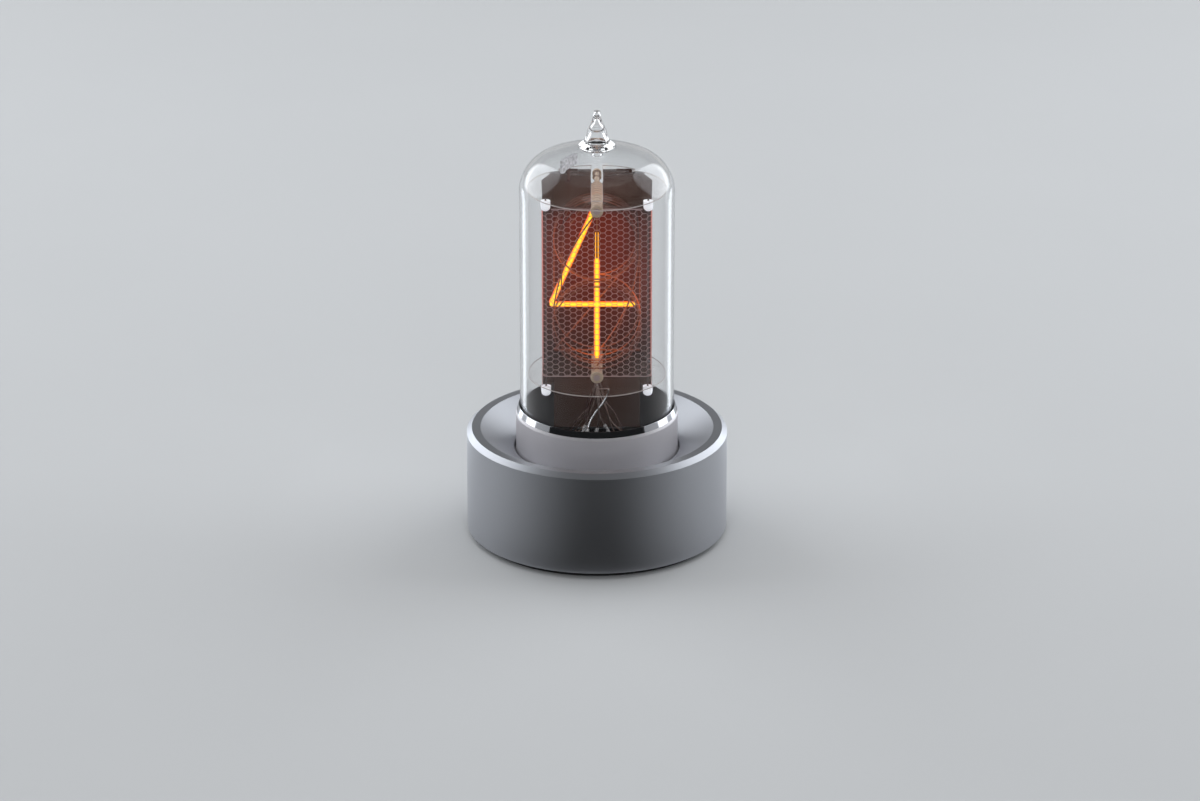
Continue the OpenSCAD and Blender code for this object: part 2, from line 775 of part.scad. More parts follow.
// Outline of the drawn tip as shares of its flare radius and its height
tip_shares = [
    [1, 0], [1.02, 0.04], [0.93, 0.09], [0.78, 0.16], [0.68, 0.25], [0.64, 0.33], [0.58, 0.42], [0.52, 0.46],
    [0.42, 0.55], [0.33, 0.63], [0.25, 0.69], [0.235, 0.76], [0.24, 0.8], [0.27, 0.86], [0.26, 0.93], [0.18, 0.98], [0, 1]];

module exhaust_tip() color(glass_tint) {
    sink = pow(tip_flare_r, 2) / (2 * dome_crown_r);
    rotate_extrude($fn = 64) difference() {
        translate([0, tip_z - sink]) polygon(concat(
            [for (s = tip_shares) [s[0] * tip_flare_r, s[1] * (tip_h + sink)]],
            [[0, tip_h * void_top_share], [tip_bore_r, tip_h * void_neck_share], [tip_bore_r, 0]]));
        translate([0, crown_z]) circle(r = dome_crown_r + skin, $fn = 360);
    }
    translate([0, 0, tip_z - neck_l]) tube_ring(neck_r, tip_bore_r, neck_l - glass_wall - 2 * skin, $fn = 48);
}

module glass_foot() color(glass_tint) difference() {
    translate([0, 0, foot_z]) cylinder(r = glass_in_r, h = foot_disc_t, $fn = 180);
    ring_of(pin_count, pin_circle_r, 0) translate([0, 0, foot_z - over])
        cylinder(r = pin_r, h = foot_disc_t + 2 * over, $fn = 32);
}

module tube_pins() color(steel) ring_of(pin_count, pin_circle_r, 0) {
    translate([0, 0, foot_z - pin_l + pin_r]) cylinder(r = pin_r, h = pin_l - pin_r + foot_disc_t + pin_top, $fn = 32);
    translate([0, 0, foot_z - pin_l]) cylinder(r1 = pin_r / 2, r2 = pin_r, h = pin_r, $fn = 32);
}

// Leads leave the pins in turn from the left and the right of the front, so that none crosses another
function lead_pin(i) =
    round((270 + (i % 2 == 0 ? -1 : 1) * (floor(i / 2) + 0.5) * 360 / pin_count) * pin_count / 360) % pin_count;

module lead_start(a) {
    translate([a[0], a[1], a[2] - lead_stub]) cylinder(r = lead_r, h = lead_stub, $fn = 24);
    translate(a) sphere(r = lead_knee_r, $fn = 24);
}

module lead_wires() color(nickel) {
    for (i = [0 : stack_n - 1]) {
        y = -stack_front + i * stack_pitch;
        q = polar(pin_circle_r, lead_pin(i) * 360 / pin_count);
        a = [q[0], q[1], foot_z + foot_disc_t + pin_top + lead_stub];
        b = [0, y, lead_bend_z];
        c = [0, y, lower_z - spacer_r - eye_tab];
        lead_start(a);
        wire_between(a, b, lead_r);
        translate(b) sphere(r = lead_knee_r, $fn = 24);
        wire_between(b, c, lead_r);
    }
    for (k = anode_pins) {
        q = polar(pin_circle_r, k * 360 / pin_count);
        a = [q[0], q[1], foot_z + foot_disc_t + pin_top + lead_stub];
        side = q[0] > 0 ? 1 : -1;
        lead_start(a);
        wire_between(a, [side * back_tab_x, back_y + back_t / 2, shield_low - lead_r], lead_r);
    }
}

module mica(z) {
    translate([0, 0, z]) difference() {
        cylinder(r = mica_r, h = mica_t, $fn = 180);
        for (s = [-1, 1]) {
            translate([s * post_x, post_y, -over]) cylinder(r = post_r + rod_clear, h = mica_t + 2 * over, $fn = 32);
            translate([s * back_tab_x - back_tab_w / 2 - skin, back_y - skin, -over])
                cube([back_tab_w + 2 * skin, back_t + 2 * skin, mica_t + 2 * over]);
        }
        children();
    }
}

module top_mica() color(glass_tint) mica(mica_high_z)
    translate([-mica_slot_w / 2, -mica_slot_front, -over])
        cube([mica_slot_w, mica_slot_front + mica_r + over, mica_t + 2 * over]);

module bottom_mica() color(glass_tint) mica(mica_low_z)
    for (i = [0 : stack_n - 1]) translate([0, -stack_front + i * stack_pitch, -over])
        cylinder(r = lead_r + rod_clear, h = mica_t + 2 * over, $fn = 24);

// Anode

module mesh_plan() {
    for (s = [-1, 1]) {
        translate([s > 0 ? mesh_half - mesh_t : -mesh_half, -mesh_front + mesh_bend_r])
            square([mesh_t, mesh_depth - mesh_bend_r]);
        translate([s * (mesh_half - mesh_bend_r), -mesh_front + mesh_bend_r]) intersection() {
            difference() {
                circle(r = mesh_bend_r, $fn = 48);
                circle(r = mesh_bend_r - mesh_t, $fn = 48);
            }
            translate([s > 0 ? 0 : -mesh_bend_r, -mesh_bend_r]) square(mesh_bend_r);
        }
    }
}

hex_step = hex_pitch * sqrt(3) / 2;
hex_r = (hex_pitch - hex_web) / sqrt(3);
flat_half = mesh_half - mesh_bend_r;
hex_cols = floor((flat_half - mesh_border / 2 - hex_r) / hex_step);
hex_rows = floor((mesh_h - 2 * mesh_border - hex_pitch / 2) / hex_pitch);
hex_low = (mesh_h - (hex_rows - 0.5) * hex_pitch) / 2;

module mesh_face() {
    difference() {
        translate([-flat_half, 0]) square([2 * flat_half, mesh_h]);
        for (c = [-hex_cols : hex_cols], r = [0 : hex_rows - 1])
            translate([c * hex_step, hex_low + (r + (abs(c) % 2) / 2) * hex_pitch]) circle(r = hex_r, $fn = 6);
        translate([0, lower_z - mesh_low]) circle(r = rod_r + rod_clear * 2, $fn = 32);
        translate([0, upper_z - mesh_low]) circle(r = rod_r + rod_clear * 2, $fn = 32);
    }
}

module anode_mesh() color(nickel) {
    difference() {
        union() {
            translate([0, -mesh_front, mesh_low]) rotate([90, 0, 0]) translate([0, 0, -mesh_t])
                linear_extrude(mesh_t) mesh_face();
            translate([0, 0, mesh_low]) linear_extrude(mesh_h) mesh_plan();
        }
        for (s = [-1, 1]) translate([s * post_x, post_y, mica_high_z - bead_l - bead_clear])
            cylinder(r = bead_r + bead_clear, h = bead_l, $fn = 48);
    }
    for (s = [-1, 1]) translate([s > 0 ? mesh_half - mesh_t : -mesh_half, post_y - mesh_tab_w / 2, mica_low_z + mica_t])
        cube([mesh_t, mesh_tab_w, mesh_low - mica_low_z - mica_t + mesh_border]);
}

// Plan of the plate behind the numerals, with a wing that slants forward and out at each side
module back_plan() {
    polygon([
        [-back_half, back_y], [-wing_x, back_y - wing_l], [-wing_x - back_t, back_y - wing_l],
        [-back_half - back_t, back_y + back_t], [back_half + back_t, back_y + back_t],
        [wing_x + back_t, back_y - wing_l], [wing_x, back_y - wing_l], [back_half, back_y]]);
}

module anode_back() color(nickel) difference() {
    union() {
        translate([0, 0, mica_low_z + mica_t + skin]) linear_extrude(mica_span - mica_t - 2 * skin) back_plan();
        translate([0, 0, mica_low_z - shield_wing_h]) linear_extrude(shield_wing_h - skin) back_plan();
        translate([-back_half, back_y, shield_low]) cube([2 * back_half, back_t, shield_h - shield_wing_h / 2]);
        for (s = [-1, 1]) translate([s * back_tab_x - back_tab_w / 2, back_y, mica_low_z - post_over])
            cube([back_tab_w, back_t, mica_span + 2 * post_over + mica_t]);
    }
    along_y(sleeve_r + rod_clear, back_y - over, back_y + over, lower_z, $fn = 32);
    along_y(back_notch_r, back_y - over, back_y + over, upper_z, $fn = 48);
    translate([-back_notch_r, back_y - over, upper_z]) cube([2 * back_notch_r, 2 * over, rod_below + over]);
}

module corner_posts() color(nickel) for (s = [-1, 1]) translate([s * post_x, post_y, mica_low_z - bead_l])
    cylinder(r = post_r, h = mica_span + mica_t + bead_l + post_over, $fn = 32);

module post_beads() color(white) for (s = [-1, 1], z = [mica_low_z, mica_high_z]) translate([s * post_x, post_y, z])
    difference() {
        rotate([180, 0, 0]) {
            cylinder(r = bead_r, h = bead_l - bead_r / 2, $fn = 48);
            translate([0, 0, bead_l - bead_r / 2]) intersection() {
                sphere(r = bead_r, $fn = 48);
                cylinder(r = bead_r, h = bead_r / 2);
            }
        }
        translate([0, 0, -bead_l - over]) cylinder(r = post_r + rod_clear, h = bead_l + 2 * over, $fn = 32);
    }

module stack_rod(z) color(nickel) {
    along_y(rod_r, -rod_front, rod_back, z, $fn = 32);
    along_y(rod_head_r, -rod_front - rod_head_t, -rod_front, z, $fn = 32);
    along_y(rod_head_r, bush_front - washer_gap - rod_head_t, bush_front - washer_gap, z, $fn = 32);
}

module upper_rod() stack_rod(upper_z);

module lower_rod() stack_rod(lower_z);

module ring_along_y(r, y0, y1, z) {
    difference() {
        along_y(r, y0, y1, z, $fn = 48);
        along_y(rod_r + rod_clear, y0 - over, y1 + over, z, $fn = 32);
    }
}

module stack_spacers(z) color(ceramic_beige) {
    washer_t = (stack_pitch - stroke_t - (washers_per_gap + 1) * washer_gap) / washers_per_gap;
    ring_along_y(end_disc_r, -rod_front, -rod_front + end_disc_t, z);
    ring_along_y(spacer_r, -mesh_front + mesh_t + washer_gap, -stack_front - stroke_t / 2 - washer_gap, z);
    for (i = [0 : stack_n - 2], w = [0 : washers_per_gap - 1]) {
        y = -stack_front + i * stack_pitch + stroke_t / 2 + washer_gap + w * (washer_t + washer_gap);
        ring_along_y(spacer_r, y, y + washer_t, z);
    }
    last = -stack_front + (stack_n - 1) * stack_pitch + stroke_t / 2 + washer_gap;
    ring_along_y(spacer_r, last, last + washer_t, z);
    ring_along_y(sleeve_r, last + washer_t + washer_gap, bush_front - rod_head_t - 2 * washer_gap, z);
}

module upper_spacers() stack_spacers(upper_z);

module lower_spacers() stack_spacers(lower_z);

module rear_bushes() color(ceramic_beige) for (z = [lower_z, upper_z])
    ring_along_y(bush_r, bush_front, rod_back - rod_head_t, z);

// Getter, a small channel on a bracket above the upper mica

module getter_bracket() color(nickel) translate([getter_at[0], getter_at[1], mica_high_z + mica_t]) {
    translate([-getter_post_w / 2, -getter_post_w, 0]) cube([getter_post_w, 2 * getter_post_w, getter_post_t]);
    translate([-getter_post_w / 2, -getter_post_t / 2, 0]) cube([getter_post_w, getter_post_t, getter_post_h]);
}

module getter_channel() color(nickel)
    translate([getter_at[0], getter_at[1], mica_high_z + mica_t + getter_post_h + skin]) rotate([0, 0, -getter_tilt])
        difference() {
            translate([-getter_w / 2, -getter_l / 2, 0]) cube([getter_w, getter_l, getter_t]);
            translate([-getter_groove / 2, -getter_l / 2 + getter_groove, getter_t - getter_groove])
                cube([getter_groove, getter_l - 2 * getter_groove, getter_groove + over]);
        }

// Numerals: strokes drawn in the XY plane, then stood up

module bar_strip(a, b, w = stroke_w) {
    d = b - a;
    translate([a[0], a[1], -stroke_t / 2]) rotate(atan2(d[1], d[0]))
        translate([0, -w / 2, 0]) cube([norm(d), w, stroke_t]);
}

module arc_strip(centre, r, a0, a1) {
    translate([centre[0], centre[1], 0]) rotate(a0) rotate_extrude(angle = a1 - a0, $fn = 96)
        translate([r - stroke_w / 2, -stroke_t / 2]) square([stroke_w, stroke_t]);
}

module numeral_eyes() {
    for (z = [-eye_r, digit_h + eye_r]) translate([0, z, -stroke_t / 2])
        tube_ring(eye_r, rod_r + rod_clear, stroke_t, $fn = 48);
    bar_strip([0, -eye_r - rod_r - stroke_w], [0, -eye_r - spacer_r - eye_tab], eye_tab_w);
}

low_centre = [0, loop_r];
high_centre = [0, digit_h - loop_r];

module zero_strokes() {
    arc_strip(low_centre, loop_r, 180, 360);
    arc_strip(high_centre, loop_r, 0, 180);
    for (s = [-1, 1]) bar_strip([s * loop_r, loop_r], [s * loop_r, digit_h - loop_r]);
}

module one_strokes() {
    bar_strip([0, -stroke_w], [0, digit_h + stroke_w]);
    bar_strip([-one_flag_x, digit_h - one_flag_drop], [0, digit_h]);
}

module two_strokes() {
    reach = norm([loop_r, digit_h - loop_r]);
    aim = atan2(digit_h - loop_r, loop_r) - asin(loop_r / reach);
    touch = [-loop_r, 0] + polar(sqrt(pow(reach, 2) - pow(loop_r, 2)), aim);
    arc_strip(high_centre, loop_r, aim - 90, two_start_a);
    bar_strip([-loop_r, 0], touch + polar(join_l, aim), stroke_w + join_w);
    bar_strip([-loop_r, 0], [loop_r, 0]);
}

module three_strokes() {
    arc_strip([0, digit_w + upper_loop_r], upper_loop_r, -90 - join_a, open_loop_a);
    arc_strip(low_centre, loop_r, -open_loop_a, 90 + join_a);
}

module four_strokes() {
    bar_strip([0, -stroke_w], [0, four_stem]);
    bar_strip([0, four_stem - stroke_w], [0, digit_h + stroke_w], four_strap_w);
    bar_strip([-four_left, four_bar], [four_right, four_bar]);
    bar_strip([-four_left, four_bar], [0, digit_h]);
}

module five_strokes() {
    start = low_centre + polar(loop_r, open_loop_a);
    arc_strip(low_centre, loop_r, -open_loop_a, open_loop_a);
    bar_strip(start, [-five_x, digit_h]);
    bar_strip([-five_x, digit_h], [five_right, digit_h]);
}

module six_strokes() {
    arc_strip(low_centre, loop_r, 0, 360);
    arc_strip([tail_r - loop_r, loop_r], tail_r, 180 - tail_a, 180);
}

module seven_strokes() {
    chord = norm([seven_right, digit_h]);
    half_turn = asin(chord / 2 / seven_bow_r);
    lean = atan2(digit_h, seven_right);
    centre = [seven_right, digit_h] / 2 + polar(sqrt(pow(seven_bow_r, 2) - pow(chord / 2, 2)), lean + 90);
    bar_strip([-seven_left, digit_h], [seven_right, digit_h]);
    arc_strip(centre, seven_bow_r, lean - 90 - half_turn, lean - 90 + half_turn);
}

module eight_strokes() {
    arc_strip(low_centre, loop_r, 0, 360);
    arc_strip([0, digit_w + upper_loop_r], upper_loop_r, 0, 360);
}

module nine_strokes() {
    arc_strip(high_centre, loop_r, 0, 360);
    arc_strip([loop_r - tail_r, digit_h - loop_r], tail_r, -tail_a, 0);
}

module stand_numeral(n) color(nickel) translate([0, slot_y(n), digit_low]) rotate([90, 0, 0]) {
    numeral_eyes();
    children();
}

module cathode_0() stand_numeral(0) zero_strokes();

module cathode_1() stand_numeral(1) one_strokes();

module cathode_2() stand_numeral(2) two_strokes();

module cathode_3() stand_numeral(3) three_strokes();

module cathode_4() stand_numeral(4) four_strokes();

module cathode_5() stand_numeral(5) five_strokes();

module cathode_6() stand_numeral(6) six_strokes();

module cathode_7() stand_numeral(7) seven_strokes();

module cathode_8() stand_numeral(8) eight_strokes();

module cathode_9() stand_numeral(9) nine_strokes();

base_shell();
tube_collar();
collar_gaskets();
bottom_plate();
foot_ring();
pillars();
plate_screws();
main_board();
board_spacers();
board_screws();
socket_board();
socket_body();
socket_contacts();
socket_screws();
board_link();
inlet_shell();
inlet_tongue();
boost_inductor();
hv_capacitor();
hv_switch();
driver_chips();
controller_chip();
clock_crystal();
cell_holder();
backup_cell();
switch_bodies();
set_button_cap();
set_switch_plunger();
mode_button_cap();
mode_switch_plunger();
glass_envelope();
exhaust_tip();
glass_foot();
tube_pins();
lead_wires();
top_mica();
bottom_mica();
anode_mesh();
anode_back();
corner_posts();
post_beads();
upper_rod();
lower_rod();
upper_spacers();
lower_spacers();
rear_bushes();
getter_bracket();
getter_channel();
cathode_0();
cathode_1();
cathode_2();
cathode_3();
cathode_4();
cathode_5();
cathode_6();
cathode_7();
cathode_8();
cathode_9();
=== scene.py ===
import json
import math

import bmesh
import bpy
from mathutils import Matrix, Vector


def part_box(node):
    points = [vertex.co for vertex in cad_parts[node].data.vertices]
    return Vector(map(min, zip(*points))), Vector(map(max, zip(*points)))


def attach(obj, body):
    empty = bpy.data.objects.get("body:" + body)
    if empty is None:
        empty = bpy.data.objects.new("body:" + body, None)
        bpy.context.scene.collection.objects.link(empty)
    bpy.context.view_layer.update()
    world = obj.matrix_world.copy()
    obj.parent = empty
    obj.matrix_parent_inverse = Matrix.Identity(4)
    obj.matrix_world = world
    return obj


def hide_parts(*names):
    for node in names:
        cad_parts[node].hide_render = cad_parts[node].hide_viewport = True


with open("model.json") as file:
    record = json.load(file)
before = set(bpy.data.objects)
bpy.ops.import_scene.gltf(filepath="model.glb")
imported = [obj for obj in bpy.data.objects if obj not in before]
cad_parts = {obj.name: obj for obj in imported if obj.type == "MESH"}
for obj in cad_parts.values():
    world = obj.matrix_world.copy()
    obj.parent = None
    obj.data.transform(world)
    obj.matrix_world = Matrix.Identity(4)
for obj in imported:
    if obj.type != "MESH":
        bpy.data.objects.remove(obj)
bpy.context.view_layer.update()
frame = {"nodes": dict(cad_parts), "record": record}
MM = 0.001
scene = bpy.context.scene

# Camera and view

CAMERA_PLACE = (0.001, -1.482, 0.638)
CAMERA_DOWN = 21.81
CAMERA_LENS = 147.04


def make_camera():
    data = bpy.data.cameras.new("camera")
    data.lens = CAMERA_LENS
    data.sensor_width = 36
    data.clip_start = 0.05
    camera = bpy.data.objects.new("camera", data)
    camera.location = CAMERA_PLACE
    camera.rotation_euler = (math.radians(90 - CAMERA_DOWN), 0, 0)
    scene.collection.objects.link(camera)
    scene.camera = camera


make_camera()
scene.view_settings.view_transform = "Standard"

# Sizes read from the frame


def reach(node):
    """How far a node goes to the right of the tube's axis"""
    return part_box(node)[1].x


def foot(node):
    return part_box(node)[0].z


def top(node):
    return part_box(node)[1].z


def middle(node):
    lowest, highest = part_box(node)
    return (lowest + highest) / 2


base_r = reach("base_shell")
base_low = foot("base_shell")
rim_z = top("base_shell")
plate_top = top("bottom_plate")
collar_low = foot("tube_collar")
mouth_z = top("tube_collar")
flange_r = reach("tube_collar")
glass_r = reach("glass_envelope")
glass_low = foot("glass_envelope")
dome_top = top("glass_envelope")
tip_top = top("exhaust_tip")
mica_r = reach("bottom_mica")
mica_low_z = foot("bottom_mica")
mica_high_z = foot("top_mica")
mica_t = top("top_mica") - mica_high_z
lower_z = middle("lower_rod").z
upper_z = middle("upper_rod").z
numeral_y = {n: middle(f"cathode_{n}").y for n in range(10)}
stack_front = min(numeral_y.values())
stack_back = max(numeral_y.values())
stack_pitch = (stack_back - stack_front) / 9
net_front = -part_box("anode_mesh")[0].y
net_half = reach("anode_mesh")
net_depth = net_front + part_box("anode_mesh")[1].y
back_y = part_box("anode_back")[0].y
post_y = middle("corner_posts").y
post_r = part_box("corner_posts")[1].y - post_y
post_x = reach("corner_posts") - post_r

# Small helpers for meshes

ROUND_STEPS = 4
AXIS_R = 1e-7


def arc(centre, radius, start, end, steps):
    """Points on an arc in the (radius, height) plane, angles in degrees"""
    angles = [math.radians(start + (end - start) * i / steps) for i in range(steps + 1)]
    return [(centre[0] + radius * math.cos(a), centre[1] + radius * math.sin(a)) for a in angles]


def softened(corners):
    """The closed outline through (x, z, corner radius), with each corner rounded by its own radius"""
    outline = []
    for i, (x, z, radius) in enumerate(corners):
        here = Vector((x, z))
        if not radius:
            outline.append((x, z))
            continue
        back = (Vector(corners[i - 1][:2]) - here).normalized()
        ahead = (Vector(corners[(i + 1) % len(corners)][:2]) - here).normalized()
        half = back.angle(ahead) / 2
        centre = here + (back + ahead).normalized() * radius / math.sin(half)
        start = here + back * radius / math.tan(half) - centre
        turn = start.angle_signed(here + ahead * radius / math.tan(half) - centre)
        for k in range(ROUND_STEPS + 1):
            outline.append(tuple(centre + Matrix.Rotation(-turn * k / ROUND_STEPS, 2) @ start))
    return outline


def with_supports(outline, margin):
    """The closed outline with a point close to each end of its long stretches, so that shading stays flat there"""
    full = []
    for i, point in enumerate(outline):
        here = Vector(point)
        ahead = Vector(outline[(i + 1) % len(outline)])
        full.append(point)
        length = (ahead - here).length
        if length > 4 * margin and (here.x > 0 or ahead.x > 0):
            full.append(tuple(here.lerp(ahead, margin / length)))
            full.append(tuple(ahead.lerp(here, margin / length)))
    return full


def eased(points, steps):
    """A smooth line through the points"""
    smooth = []
    for i in range(len(points) - 1):
        a, b, c, d = (Vector(points[min(max(i + k, 0), len(points) - 1)]) for k in (-1, 0, 1, 2))
        for k in range(steps):
            t = k / steps
            smooth.append(tuple(
                b + (c - a) * t / 2
                + (2 * a - 5 * b + 4 * c - d) * t ** 2 / 2
                + (3 * b - a - 3 * c + d) * t ** 3 / 2))
    smooth.append(tuple(points[-1]))
    return smooth


def as_mesh(work, name):
    """Ends the work on a bmesh and returns it as a new mesh"""
    mesh = bpy.data.meshes.new(name)
    work.to_mesh(mesh)
    work.free()
    return mesh


def turns_of(count):
    """The angles of that many points evenly round a circle"""
    return [2 * math.pi * k / count for k in range(count)]


def skin(work, rings):
    """Closes equal rings into a solid, with walls from ring to ring and a cap at each end"""
    for below, above in zip(rings, rings[1:]):
        for k in range(len(below)):
            n = (k + 1) % len(below)
            work.faces.new((below[k], below[n], above[n], above[k]))
    work.faces.new(rings[0])
    work.faces.new(rings[-1])
    bmesh.ops.recalc_face_normals(work, faces=work.faces)


def finish_shading(mesh, sharp=32):
    """Smooth faces, with edges sharper than that many degrees kept sharp"""
    work = bmesh.new()
    work.from_mesh(mesh)
    for face in work.faces:
        face.smooth = True
    for edge in work.edges:
        edge.smooth = len(edge.link_faces) == 2 and edge.calc_face_angle(0) < math.radians(sharp)
    work.to_mesh(mesh)
    work.free()
    return mesh


def lathe(name, outline, segments=192, margin=0.15 * MM):
    """Turns a closed outline of (radius, height) round the Z axis. Points on the axis become one pole."""
    work = bmesh.new()
    rings = []
    for r, z in with_supports(outline, margin):
        if r < AXIS_R:
            rings.append([work.verts.new((0, 0, z))])
        else:
            rings.append([work.verts.new((r * math.cos(a), r * math.sin(a), z)) for a in turns_of(segments)])
    for i, ring in enumerate(rings):
        above = rings[(i + 1) % len(rings)]
        for k in range(segments):
            corners = list(dict.fromkeys([ring[k % len(ring)], ring[(k + 1) % len(ring)],
                                          above[(k + 1) % len(above)], above[k % len(above)]]))
            if len(corners) > 2:
                work.faces.new(corners)
    bmesh.ops.recalc_face_normals(work, faces=work.faces)
    return finish_shading(as_mesh(work, name))


def moved(mesh, matrix):
    """A copy of the mesh, put in place by the matrix"""
    copy = mesh.copy()
    copy.transform(matrix)
    return copy


def joined(name, meshes):
    work = bmesh.new()
    for mesh in meshes:
        work.from_mesh(mesh)
    return as_mesh(work, name)


def bake_modifiers(thing):
    """Turns what the modifiers make into the object's own mesh"""
    graph = bpy.context.evaluated_depsgraph_get()
    made = bpy.data.meshes.new_from_object(thing.evaluated_get(graph))
    thing.modifiers.clear()
    thing.data = made


def add_object(name, data):
    thing = bpy.data.objects.new(name, data)
    scene.collection.objects.link(thing)
    return thing


def along_y(y, z):
    """Stands what was turned round Z along +Y instead, at that place"""
    return Matrix.Translation((0, y, z)) @ Matrix.Rotation(math.radians(-90), 4, "X")


def bent_tube(points, radius, sides=8, wobble=None):
    """A closed tube along a smooth line through the points. wobble gives a share of the radius at each ring."""
    line = [Vector(p) for p in eased(points, 8)]
    work = bmesh.new()
    side = Vector((1, 0, 0))
    rings = []
    for i, place in enumerate(line):
        ahead = (line[min(i + 1, len(line) - 1)] - line[max(i - 1, 0)]).normalized()
        side = (side - ahead * side.dot(ahead)).normalized()
        other = ahead.cross(side)
        r = radius * (wobble(i) if wobble else 1)
        rings.append([work.verts.new(place + r * (side * math.cos(a) + other * math.sin(a)))
                      for a in turns_of(sides)])
    skin(work, rings)
    return finish_shading(as_mesh(work, "tube"), sharp=50)


# Small helpers for node trees


class Number:
    """A node's output as a number, so that formulas can be written with the usual signs"""

    def __init__(self, tree, socket):
        self.tree = tree
        self.socket = socket

    def __abs__(self):
        return maths(self.tree, "ABSOLUTE", self)

    def __neg__(self):
        return self * -1.0


def teach_sign(sign, operation):
    """Lets a Number stand on either side of a sign"""
    setattr(Number, f"__{sign}__", lambda this, other: maths(this.tree, operation, this, other))
    setattr(Number, f"__r{sign}__", lambda this, other: maths(this.tree, operation, other, this))


for sign, operation in {"add": "ADD", "sub": "SUBTRACT", "mul": "MULTIPLY", "truediv": "DIVIDE",
                        "pow": "POWER"}.items():
    teach_sign(sign, operation)


def connect(tree, value, target):
    """Links a Number, a socket or a node's first output to an input, or sets a plain value there"""
    if isinstance(value, bpy.types.Node):
        value = value.outputs[0]
    value = getattr(value, "socket", value)
    if isinstance(value, bpy.types.NodeSocket):
        tree.links.new(value, target)
    else:
        target.default_value = value


def put(tree, kind, inputs=(), **settings):
    """Adds a node. inputs are what its inputs get, by name or place; settings are the node's own."""
    node = tree.nodes.new(kind)
    for key, value in settings.items():
        setattr(node, key, value)
    for key, value in dict(inputs).items():
        connect(tree, value, node.inputs[key])
    return node


def feed(tree, node, **values):
    """Gives values to the inputs of a node that is there already"""
    for label, value in values.items():
        connect(tree, value, node.inputs[label.replace("_", " ")])


def maths(tree, operation, *terms, clamp=False):
    node = put(tree, "ShaderNodeMath", enumerate(terms), operation=operation, use_clamp=clamp)
    return Number(tree, node.outputs[0])


def vectors(tree, operation, *terms):
    node = put(tree, "ShaderNodeVectorMath", enumerate(terms), operation=operation)
    if operation in ("DOT_PRODUCT", "LENGTH"):
        return Number(tree, node.outputs["Value"])
    return node.outputs["Vector"]


def vector_of(tree, x=0.0, y=0.0, z=0.0):
    return put(tree, "ShaderNodeCombineXYZ", {0: x, 1: y, 2: z}).outputs[0]


def axis_of(tree, vector, axis):
    return Number(tree, put(tree, "ShaderNodeSeparateXYZ", {0: vector}).outputs[axis])


def radius_of(tree, place):
    return vectors(tree, "LENGTH", vectors(tree, "MULTIPLY", place, (1, 1, 0)))


def remap(tree, value, low, high, to_low=0.0, to_high=1.0, **settings):
    """value from low...high to to_low...to_high, held at the ends"""
    places = {0: value, 1: low, 2: high, 3: to_low, 4: to_high}
    return Number(tree, put(tree, "ShaderNodeMapRange", places, clamp=True, **settings).outputs[0])


def mix_values(tree, share, first, second):
    return remap(tree, share, 0.0, 1.0, first, second)


def mixed(tree, share, first, second):
    """Mixes two colours"""
    return put(tree, "ShaderNodeMix", {0: share, 6: first, 7: second}, data_type="RGBA").outputs[2]


def mix_surface(tree, share, first, second):
    """Makes a mix of two shader nodes the material's surface"""
    both = put(tree, "ShaderNodeMixShader", {0: share, 1: first, 2: second})
    feed(tree, tree.nodes["Material Output"], Surface=both)


def rgb(r, g, b):
    return (r, g, b, 1)


def object_place(tree):
    return put(tree, "ShaderNodeTexCoord").outputs["Object"]


def off_middle(tree):
    """How far a place is from the middle line of a piece that has across values, 0 to 0.5"""
    return abs(axis_of(tree, put(tree, "ShaderNodeUVMap", uv_map="across"), 0) - 0.5)


def normal_along(tree, axis):
    return axis_of(tree, put(tree, "ShaderNodeNewGeometry").outputs["Normal"], axis)


def noise(tree, place, scale, detail=2.0, roughness=0.5):
    places = {"Vector": place, "Scale": scale, "Detail": detail, "Roughness": roughness}
    return Number(tree, put(tree, "ShaderNodeTexNoise", places).outputs["Fac"])


def bump(tree, height, strength, distance):
    places = {"Height": height, "Strength": strength, "Distance": distance}
    return put(tree, "ShaderNodeBump", places).outputs["Normal"]


def by_name(tree, sockets):
    return {socket.name: Number(tree, socket) for socket in sockets}


def ends_of(tree):
    """What comes into a group, by name, and the node that takes what goes out"""
    return by_name(tree, put(tree, "NodeGroupInput").outputs), put(tree, "NodeGroupOutput")


def new_group(name, inputs, outputs):
    """A shader group with number inputs {name: value} and the named outputs, all numbers except a Normal"""
    tree = bpy.data.node_groups.new(name, "ShaderNodeTree")
    for label, value in inputs.items():
        tree.interface.new_socket(label, in_out="INPUT", socket_type="NodeSocketFloat").default_value = value
    for label in outputs:
        kind = "NodeSocketVector" if label == "Normal" else "NodeSocketFloat"
        tree.interface.new_socket(label, in_out="OUTPUT", socket_type=kind)
    return tree, *ends_of(tree)


def use_group(tree, group, **values):
    node = put(tree, "ShaderNodeGroup", node_tree=group)
    feed(tree, node, **values)
    return by_name(tree, node.outputs)


# Surface effects that several materials share

GRAIN_DEPTH = 0.02 * MM
FLECK_DEPTH = 0.05 * MM


def blasted_grain_group():
    """The fine grain of bead-blasted metal: pits, and a slow change of gloss over the surface"""
    tree, given, made = new_group(
        "blasted grain", {"Pit Scale": 3200.0, "Gloss": 0.45, "Gloss Spread": 0.08, "Pit Depth": 0.3},
        ("Roughness", "Shade", "Normal"))
    place = object_place(tree)
    pits = noise(tree, place, given["Pit Scale"], 4, 0.7)
    clouds = noise(tree, place, 38, 3, 0.55)
    spread = (clouds - 0.5) * given["Gloss Spread"] + (pits - 0.5) * given["Gloss Spread"]
    feed(tree, made, Roughness=given["Gloss"] + spread, Shade=remap(tree, pits, 0.3, 0.7, 0.93, 1.0),
         Normal=bump(tree, pits, given["Pit Depth"], GRAIN_DEPTH))
    return tree


